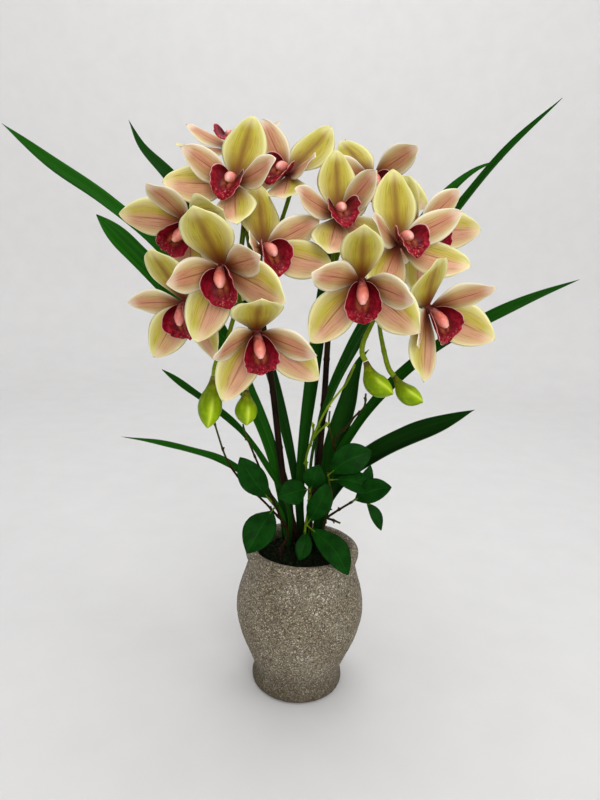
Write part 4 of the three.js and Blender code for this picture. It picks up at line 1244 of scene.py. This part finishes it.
# ---- Filler sprigs ---------------------------------------------------------------------------------
# Three thin, branched sprigs pushed in among the orchids at the front. They have rounded, leathery
# leaves on short green stalks, bare side shoots, and nubs where older leaves were trimmed off.
SPRIGS = {
    "left": {"root": (-21, -19), "age": 0.2, "twigs": [
        [(-14.6, -19, 171), (-32.6, -22, 196), (-65.3, -26, 230), (-74.4, -30, 247), (-85.3, -34, 282)],
        [(-18, -20, 176), (-31, -22, 207), (-44.8, -28, 241.5), (-57, -34, 273.4), (-58.8, -36, 281)],
    ], "leaves": [
        {"line": [(-31, -22, 202), (-49.6, -34, 230), (-61, -36, 250)], "width": 25,
         "face": (0.2, -1, 0.2)},
        {"line": [(-28, -21.5, 197), (-38, -44, 188), (-50.5, -58, 166)], "width": 30,
         "face": (-0.2, -0.9, 0.4)},
    ]},
    "centre": {"root": (2, -20), "age": 0.62, "old_twigs": (4, 5), "twigs": [
        [(1.8, -22, 175), (3.7, -24, 196), (4.6, -28, 218), (-0.5, -34, 249), (4.1, -36, 269),
         (15.3, -38, 298), (31.6, -40, 323)],
        [(30, -40, 320), (35, -41, 331), (38, -42, 341)],
        [(4.5, -36, 270), (10, -37, 278), (14, -37, 282), (19, -38, 287)],
        [(3, -36, 265), (5, -34, 276), (4, -34, 285)],
        [(4, -28, 214), (18, -20, 229), (29, -14, 242), (25, -13, 260), (20, -13, 277), (20, -12, 291)],
        [(25, -13, 261), (30, -13, 270), (39, -12, 279), (43, -12, 286), (52, -11, 296), (53, -10, 309)],
    ], "leaves": [
        {"line": [(4.6, -28, 219), (-10, -42, 221), (-24, -50, 218)], "width": 24,
         "face": (0.1, -0.9, 0.4)},
        {"line": [(4.6, -28, 217), (7.8, -41, 236), (11, -45, 249)], "width": 21, "face": (0, -1, 0.3)},
        {"line": [(2.6, -23, 180), (14, -40, 210), (19, -45, 232)], "width": 22, "face": (0.1, -1, 0.3)},
        {"line": [(2, -22, 177), (1.4, -34, 165), (-2.8, -40, 152)], "width": 16, "face": (-0.2, -1, 0.2)},
        {"line": [(2, -22, 181), (29.2, -48, 168), (41.9, -64, 152)], "width": 25,
         "face": (0.1, -0.8, 0.6)},
    ]},
    "right": {"root": (20, -18), "age": 0.25, "twigs": [
        [(19, -21, 172), (21.2, -24, 189), (25.9, -26, 208), (22, -28, 227), (20.7, -28, 236)],
        [(21.2, -24, 189), (33.4, -32, 202), (43.6, -38, 212), (49, -40, 217), (56, -42, 216)],
        [(21.2, -24, 189), (27, -30, 190), (34, -36, 189.7)],
    ], "leaves": [
        {"line": [(20, -28, 233), (37, -38, 251.5), (59, -36, 261)], "width": 29, "face": (0, -1, 0.2)},
        {"line": [(22, -28, 229), (42, -40, 233), (67, -42, 224)], "width": 21, "face": (0, -0.7, 0.8)},
        {"line": [(43, -37.7, 211.5), (59.7, -50, 228), (76, -56, 234.7)], "width": 22,
         "face": (-0.2, -0.9, 0.6)},
        {"line": [(54, -42, 216.5), (64, -48, 206), (70.5, -52, 191)], "width": 11, "face": (0.3, -1, 0.3)},
        {"line": [(51, -40.5, 216.8), (56.5, -34, 236), (59.5, -31, 246)], "width": 14,
         "face": (0.4, -1, 0)},
    ]},
}
TWIG_RADIUS = 1.5
KNOT_SPACING = 14
SPRIG_LEAF_THICKNESS = 0.8
SPRIG_LEAF_GRID = (44, 19)
SIDE_VEINS = 62.0  # ten side veins in a leaf's length, in radians
VEIN_SLANT = 0.28  # how far along a leaf a side vein has run by the rim


def sprig_leaf_width(t):
    beyond = np.clip((t - 0.1) / 0.9, 0, 1)
    return np.maximum(np.sin(np.pi * beyond**1.15) ** 0.8, np.where(t < 0.12, 0.06, 0.015))


def sprig_leaf_skin():
    # Thin leathery leaf: rich green with a soft shine, a sunken pale midrib, and side veins about 3 mm
    # apart that run forward to the rim and quilt the leaf between them.
    material, shader = new_material(
        "leathery_sprig_leaf",
        {"Roughness": 0.42, "Specular IOR Level": 0.04},
    )
    spot = add_node(material, "Attribute", attribute_name="spot")
    axes = add_node(material, "SeparateXYZ", {0: spot.outputs["Vector"]})
    tint = add_node(
        material, "SeparateXYZ", {0: add_node(material, "Attribute", attribute_name="tint").outputs[1]}
    )
    place = add_node(material, "TexCoord").outputs["Object"]
    clouds = add_node(material, "TexNoise", {"Vector": place, "Scale": PATTERN_SCALE / 9, "Detail": 3.0})
    green = add_node(
        material, "ValToRGB", {"Fac": clouds.outputs["Fac"]}, stops=[(0.3, "#072c05"), (0.7, "#0e4009")]
    )
    span = add_node(material, "Math", {0: axes.outputs["Y"]}, operation="ABSOLUTE")
    slanted = add_node(
        material, "Math", {0: span.outputs[0], 1: -VEIN_SLANT, 2: axes.outputs["X"]},
        operation="MULTIPLY_ADD",
    )
    waves = add_node(material, "Math", {0: slanted.outputs[0], 1: SIDE_VEINS}, operation="MULTIPLY")
    quilt = add_node(material, "Math", {0: waves.outputs[0]}, operation="SINE")
    vein = add_node(
        material, "MapRange",
        {"Value": quilt.outputs[0], "From Min": 0.86, "From Max": 1.0, "To Min": 0.0, "To Max": 0.07},
    )
    midrib = add_node(
        material, "MapRange",
        {"Value": span.outputs[0], "From Min": 0.06, "From Max": 0.02, "To Min": 0.0, "To Max": 0.22},
    )
    marks = add_node(material, "Math", {0: vein.outputs[0], 1: midrib.outputs[0]}, operation="MAXIMUM")
    veined = add_node(
        material, "Mix", {0: marks.outputs[0], 6: green.outputs["Color"], 7: linear("#2a6a1c")},
        data_type="RGBA",
    )
    backed = add_node(
        material, "Mix", {0: tint.outputs["X"], 6: veined.outputs[2], 7: linear("#1c4a10")},
        data_type="RGBA",
    )
    wire(material, backed.outputs[2], shader.inputs["Base Color"])
    relief = add_node(
        material, "Math", {0: marks.outputs[0], 1: -2.0, 2: clouds.outputs["Fac"]},
        operation="MULTIPLY_ADD",
    )
    bump = add_node(
        material, "Bump", {"Height": relief.outputs[0], "Strength": 0.3, "Distance": 0.5 * MM}
    )
    wire(material, bump.outputs["Normal"], shader.inputs["Normal"])
    return material


def nub(place, way, t, draw, age):
    """The stump of a trimmed leaf stalk, on the side of a twig."""
    foot = place(np.array(t))
    along = way(np.array(t))
    side = np.cross(along, [draw.uniform(-1, 1), draw.uniform(-1, 1), draw.uniform(-1, 1)])
    side = side / np.linalg.norm(side) + 0.6 * along
    length = draw.uniform(1.8, 4.2)
    centres = foot + side / np.linalg.norm(side) * length * np.array([[0], [0.5], [0.9], [1]])
    points, faces = tube(centres, np.array([[0.9], [0.65], [0.8], [0.35]]), sides=8)
    return {"points": points, "faces": faces, "material": 1, "tint": np.tile((age, 0, 0), (len(points), 1))}


sprig_materials = [sprig_leaf_skin(), stem_skin]
sprig_draw = random.Random(71)
for name, sprig in SPRIGS.items():
    foot = peg(sprig["root"], 2)
    foot["tint"] = np.tile((sprig["age"], 0, 0), (len(foot["points"]), 1))
    foot["material"] = 1
    shapes = [foot]
    for i, twig in enumerate(sprig["twigs"]):
        line = [(*sprig["root"], MOSS_TOP + 1), *twig] if i == 0 else twig
        place, way, length = curve_through(line)
        knots = [sprig_draw.uniform(0, 1) for _ in range(int(length / KNOT_SPACING))]
        age = 0.26 if i in sprig.get("old_twigs", ()) else sprig["age"]

        def twig_radius(t):
            lumps = sum(np.exp(-(((t - knot) * length / 1.5) ** 2)) for knot in knots)
            return TWIG_RADIUS * (1 - 0.3 * t) * (0.85 + 0.35 * lumps)

        shape = stalk(line, twig_radius, lambda t: age + 0.25 * smooth(t, 0.6, 1), rows=90, sides=8)
        shape["material"] = 1
        shapes.append(shape)
        shapes += [nub(place, way, knot, sprig_draw, age) for knot in knots]
    for leaf in sprig["leaves"]:
        half = leaf["width"] / 2
        lay = keeled_surface(
            leaf["line"], lambda t: half * sprig_leaf_width(t), leaf["face"], 0.12, keel_round=0.05
        )
        phase = sprig_draw.uniform(0, 6)

        def quilted(t, s):
            point, up = lay(t, s)
            # the rims wave, the tip dips, and the blade puffs up a little between its side veins
            wave = 0.8 * np.abs(s) ** 3 * np.sin(7 * t + phase + 1.6 * np.sign(s)) * smooth(t, 0.1, 0.4)
            veins = SIDE_VEINS * (t - VEIN_SLANT * np.abs(s))
            puff = 0.16 * np.sin(veins + np.pi) * smooth(np.abs(s), 0.0, 0.3)
            groove = -0.4 * np.exp(-((s / 0.08) ** 2)) * smooth(t, 0.1, 0.3)
            return point + up * (wave + puff * smooth(t, 0.1, 0.3) + groove)[..., None], up

        shape = blade(quilted, *SPRIG_LEAF_GRID, SPRIG_LEAF_THICKNESS)
        shape["spot"][:, 2] = phase
        shape["tint"] = np.stack(
            [shape["underside"] * 0.8, 0 * shape["underside"], 0 * shape["underside"]], -1
        )
        shapes.append(shape)
        petiole = stalk(
            [keel for keel in (lay(np.array([t]), np.array([0.0]))[0][0] for t in (0, 0.06, 0.13, 0.2))],
            lambda t: 0.85 - 0.35 * t, lambda t: 0.72 + 0 * t, rows=8, sides=8,
        )
        petiole["material"] = 1
        shapes.append(petiole)
    piece = assemble(f"{name}_sprig", shapes, sprig_materials)
    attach(piece, "root")
    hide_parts(f"sprig_{name}")

# ---- Studio ----------------------------------------------------------------------------------------
# A seamless pale sweep: a floor that turns up into a wall all the way round, so that no edge shows
# from any side. Large soft boxes overhead, in front and on the right light the plant evenly, and one
# more above and behind it lights the wall. The studio is laid out in metres.
SWEEP_SIDES = 96
SWEEP_PROFILE = [(0.0, 0.0), (1.5, 0.0), (1.75, 0.03), (1.95, 0.13), (2.1, 0.32), (2.17, 0.6), (2.2, 2.6)]


def matt_paper():
    # Seamless background paper: plain, pale and matt. Its tooth is too fine to show, so it is drawn
    # coarse, as clouds of about 60 mm that can barely be seen.
    material, shader = new_material("background_paper", {"Roughness": 0.9, "Specular IOR Level": 0.1})
    place = add_node(material, "TexCoord").outputs["Object"]
    tooth = add_node(material, "TexNoise", {"Vector": place, "Scale": PATTERN_SCALE / 60, "Detail": 2.0})
    colour = add_node(
        material, "ValToRGB", {"Fac": tooth.outputs["Fac"]}, stops=[(0.3, "#dddcdb"), (0.7, "#e0dfde")]
    )
    wire(material, colour.outputs["Color"], shader.inputs["Base Color"])
    return material


def make_sweep():
    outline, _, _ = curve_through([(r, 0, z) for r, z in SWEEP_PROFILE[1:]])
    profile = [(0.4, 0, 0), (1.0, 0, 0), *outline(np.linspace(0, 1, 40))]
    turn = np.arange(SWEEP_SIDES) * 2 * math.pi / SWEEP_SIDES
    points = np.array([(r * math.cos(a), r * math.sin(a), z) for r, _, z in profile for a in turn]) / MM
    faces = [tuple(range(SWEEP_SIDES))]
    for i in range(len(profile) - 1):
        for k in range(SWEEP_SIDES):
            a, b = i * SWEEP_SIDES + k, i * SWEEP_SIDES + (k + 1) % SWEEP_SIDES
            faces.append((a, a + SWEEP_SIDES, b + SWEEP_SIDES, b))
    return assemble("paper_sweep", [{"points": points, "faces": faces}], [matt_paper()])


make_sweep()

world = bpy.data.worlds.new("studio_air")
bpy.context.scene.world = world
world.use_nodes = True
world.node_tree.nodes["Background"].inputs["Color"].default_value = linear("#f4f6fa")
world.node_tree.nodes["Background"].inputs["Strength"].default_value = 0.6

SOFT_BOXES = [
    {"name": "overhead", "at": (0.0, -0.2, 2.1), "aim": (0, 0, 0.3), "size": 1.5, "power": 12},
    {"name": "front", "at": (0.3, -1.6, 0.9), "aim": (0, 0, 0.3), "size": 1.2, "power": 14},
    {"name": "right", "at": (1.5, -0.6, 1.1), "aim": (0, 0, 0.3), "size": 1.0, "power": 2.5},
    {"name": "wall", "at": (0.0, 0.8, 2.2), "aim": (0, 2.2, 0.9), "size": 1.4, "power": 12},
]
for box in SOFT_BOXES:
    lamp = bpy.data.lights.new(box["name"], "AREA")
    lamp.shape = "DISK"
    lamp.size = box["size"]
    lamp.energy = box["power"]
    holder = bpy.data.objects.new(box["name"], lamp)
    bpy.context.scene.collection.objects.link(holder)
    holder.location = box["at"]
    aim = Vector(box["aim"]) - Vector(box["at"])
    holder.rotation_mode = "QUATERNION"
    holder.rotation_quaternion = aim.to_track_quat("-Z", "Y")

# The camera stands in front of the plant at the height of its lower blooms, looks down a little, and
# is held a touch out of level, as the photograph was taken.
CAMERA_AT = (-8.3, -560, 420)
CAMERA_PITCH = math.radians(12.3)
CAMERA_ROLL = math.radians(2.4)
FILM_LONG_SIDE = 36
LONG_SIDE_LENS = 27
right = Vector((1, 0, 0))
upright = Vector((0, math.sin(CAMERA_PITCH), math.cos(CAMERA_PITCH)))
ahead = Vector((0, math.cos(CAMERA_PITCH), -math.sin(CAMERA_PITCH)))
camera_x = right * math.cos(CAMERA_ROLL) + upright * math.sin(CAMERA_ROLL)
camera_y = upright * math.cos(CAMERA_ROLL) - right * math.sin(CAMERA_ROLL)
camera_data = bpy.data.cameras.new("camera")
camera_data.sensor_width = FILM_LONG_SIDE
camera_data.lens = LONG_SIDE_LENS
camera = bpy.data.objects.new("camera", camera_data)
bpy.context.scene.collection.objects.link(camera)
camera.matrix_world = Matrix.Translation(Vector(CAMERA_AT) * MM) @ Matrix(
    (camera_x, camera_y, -ahead)
).transposed().to_4x4()
bpy.context.scene.camera = camera
bpy.context.scene.view_settings.view_transform = "Standard"
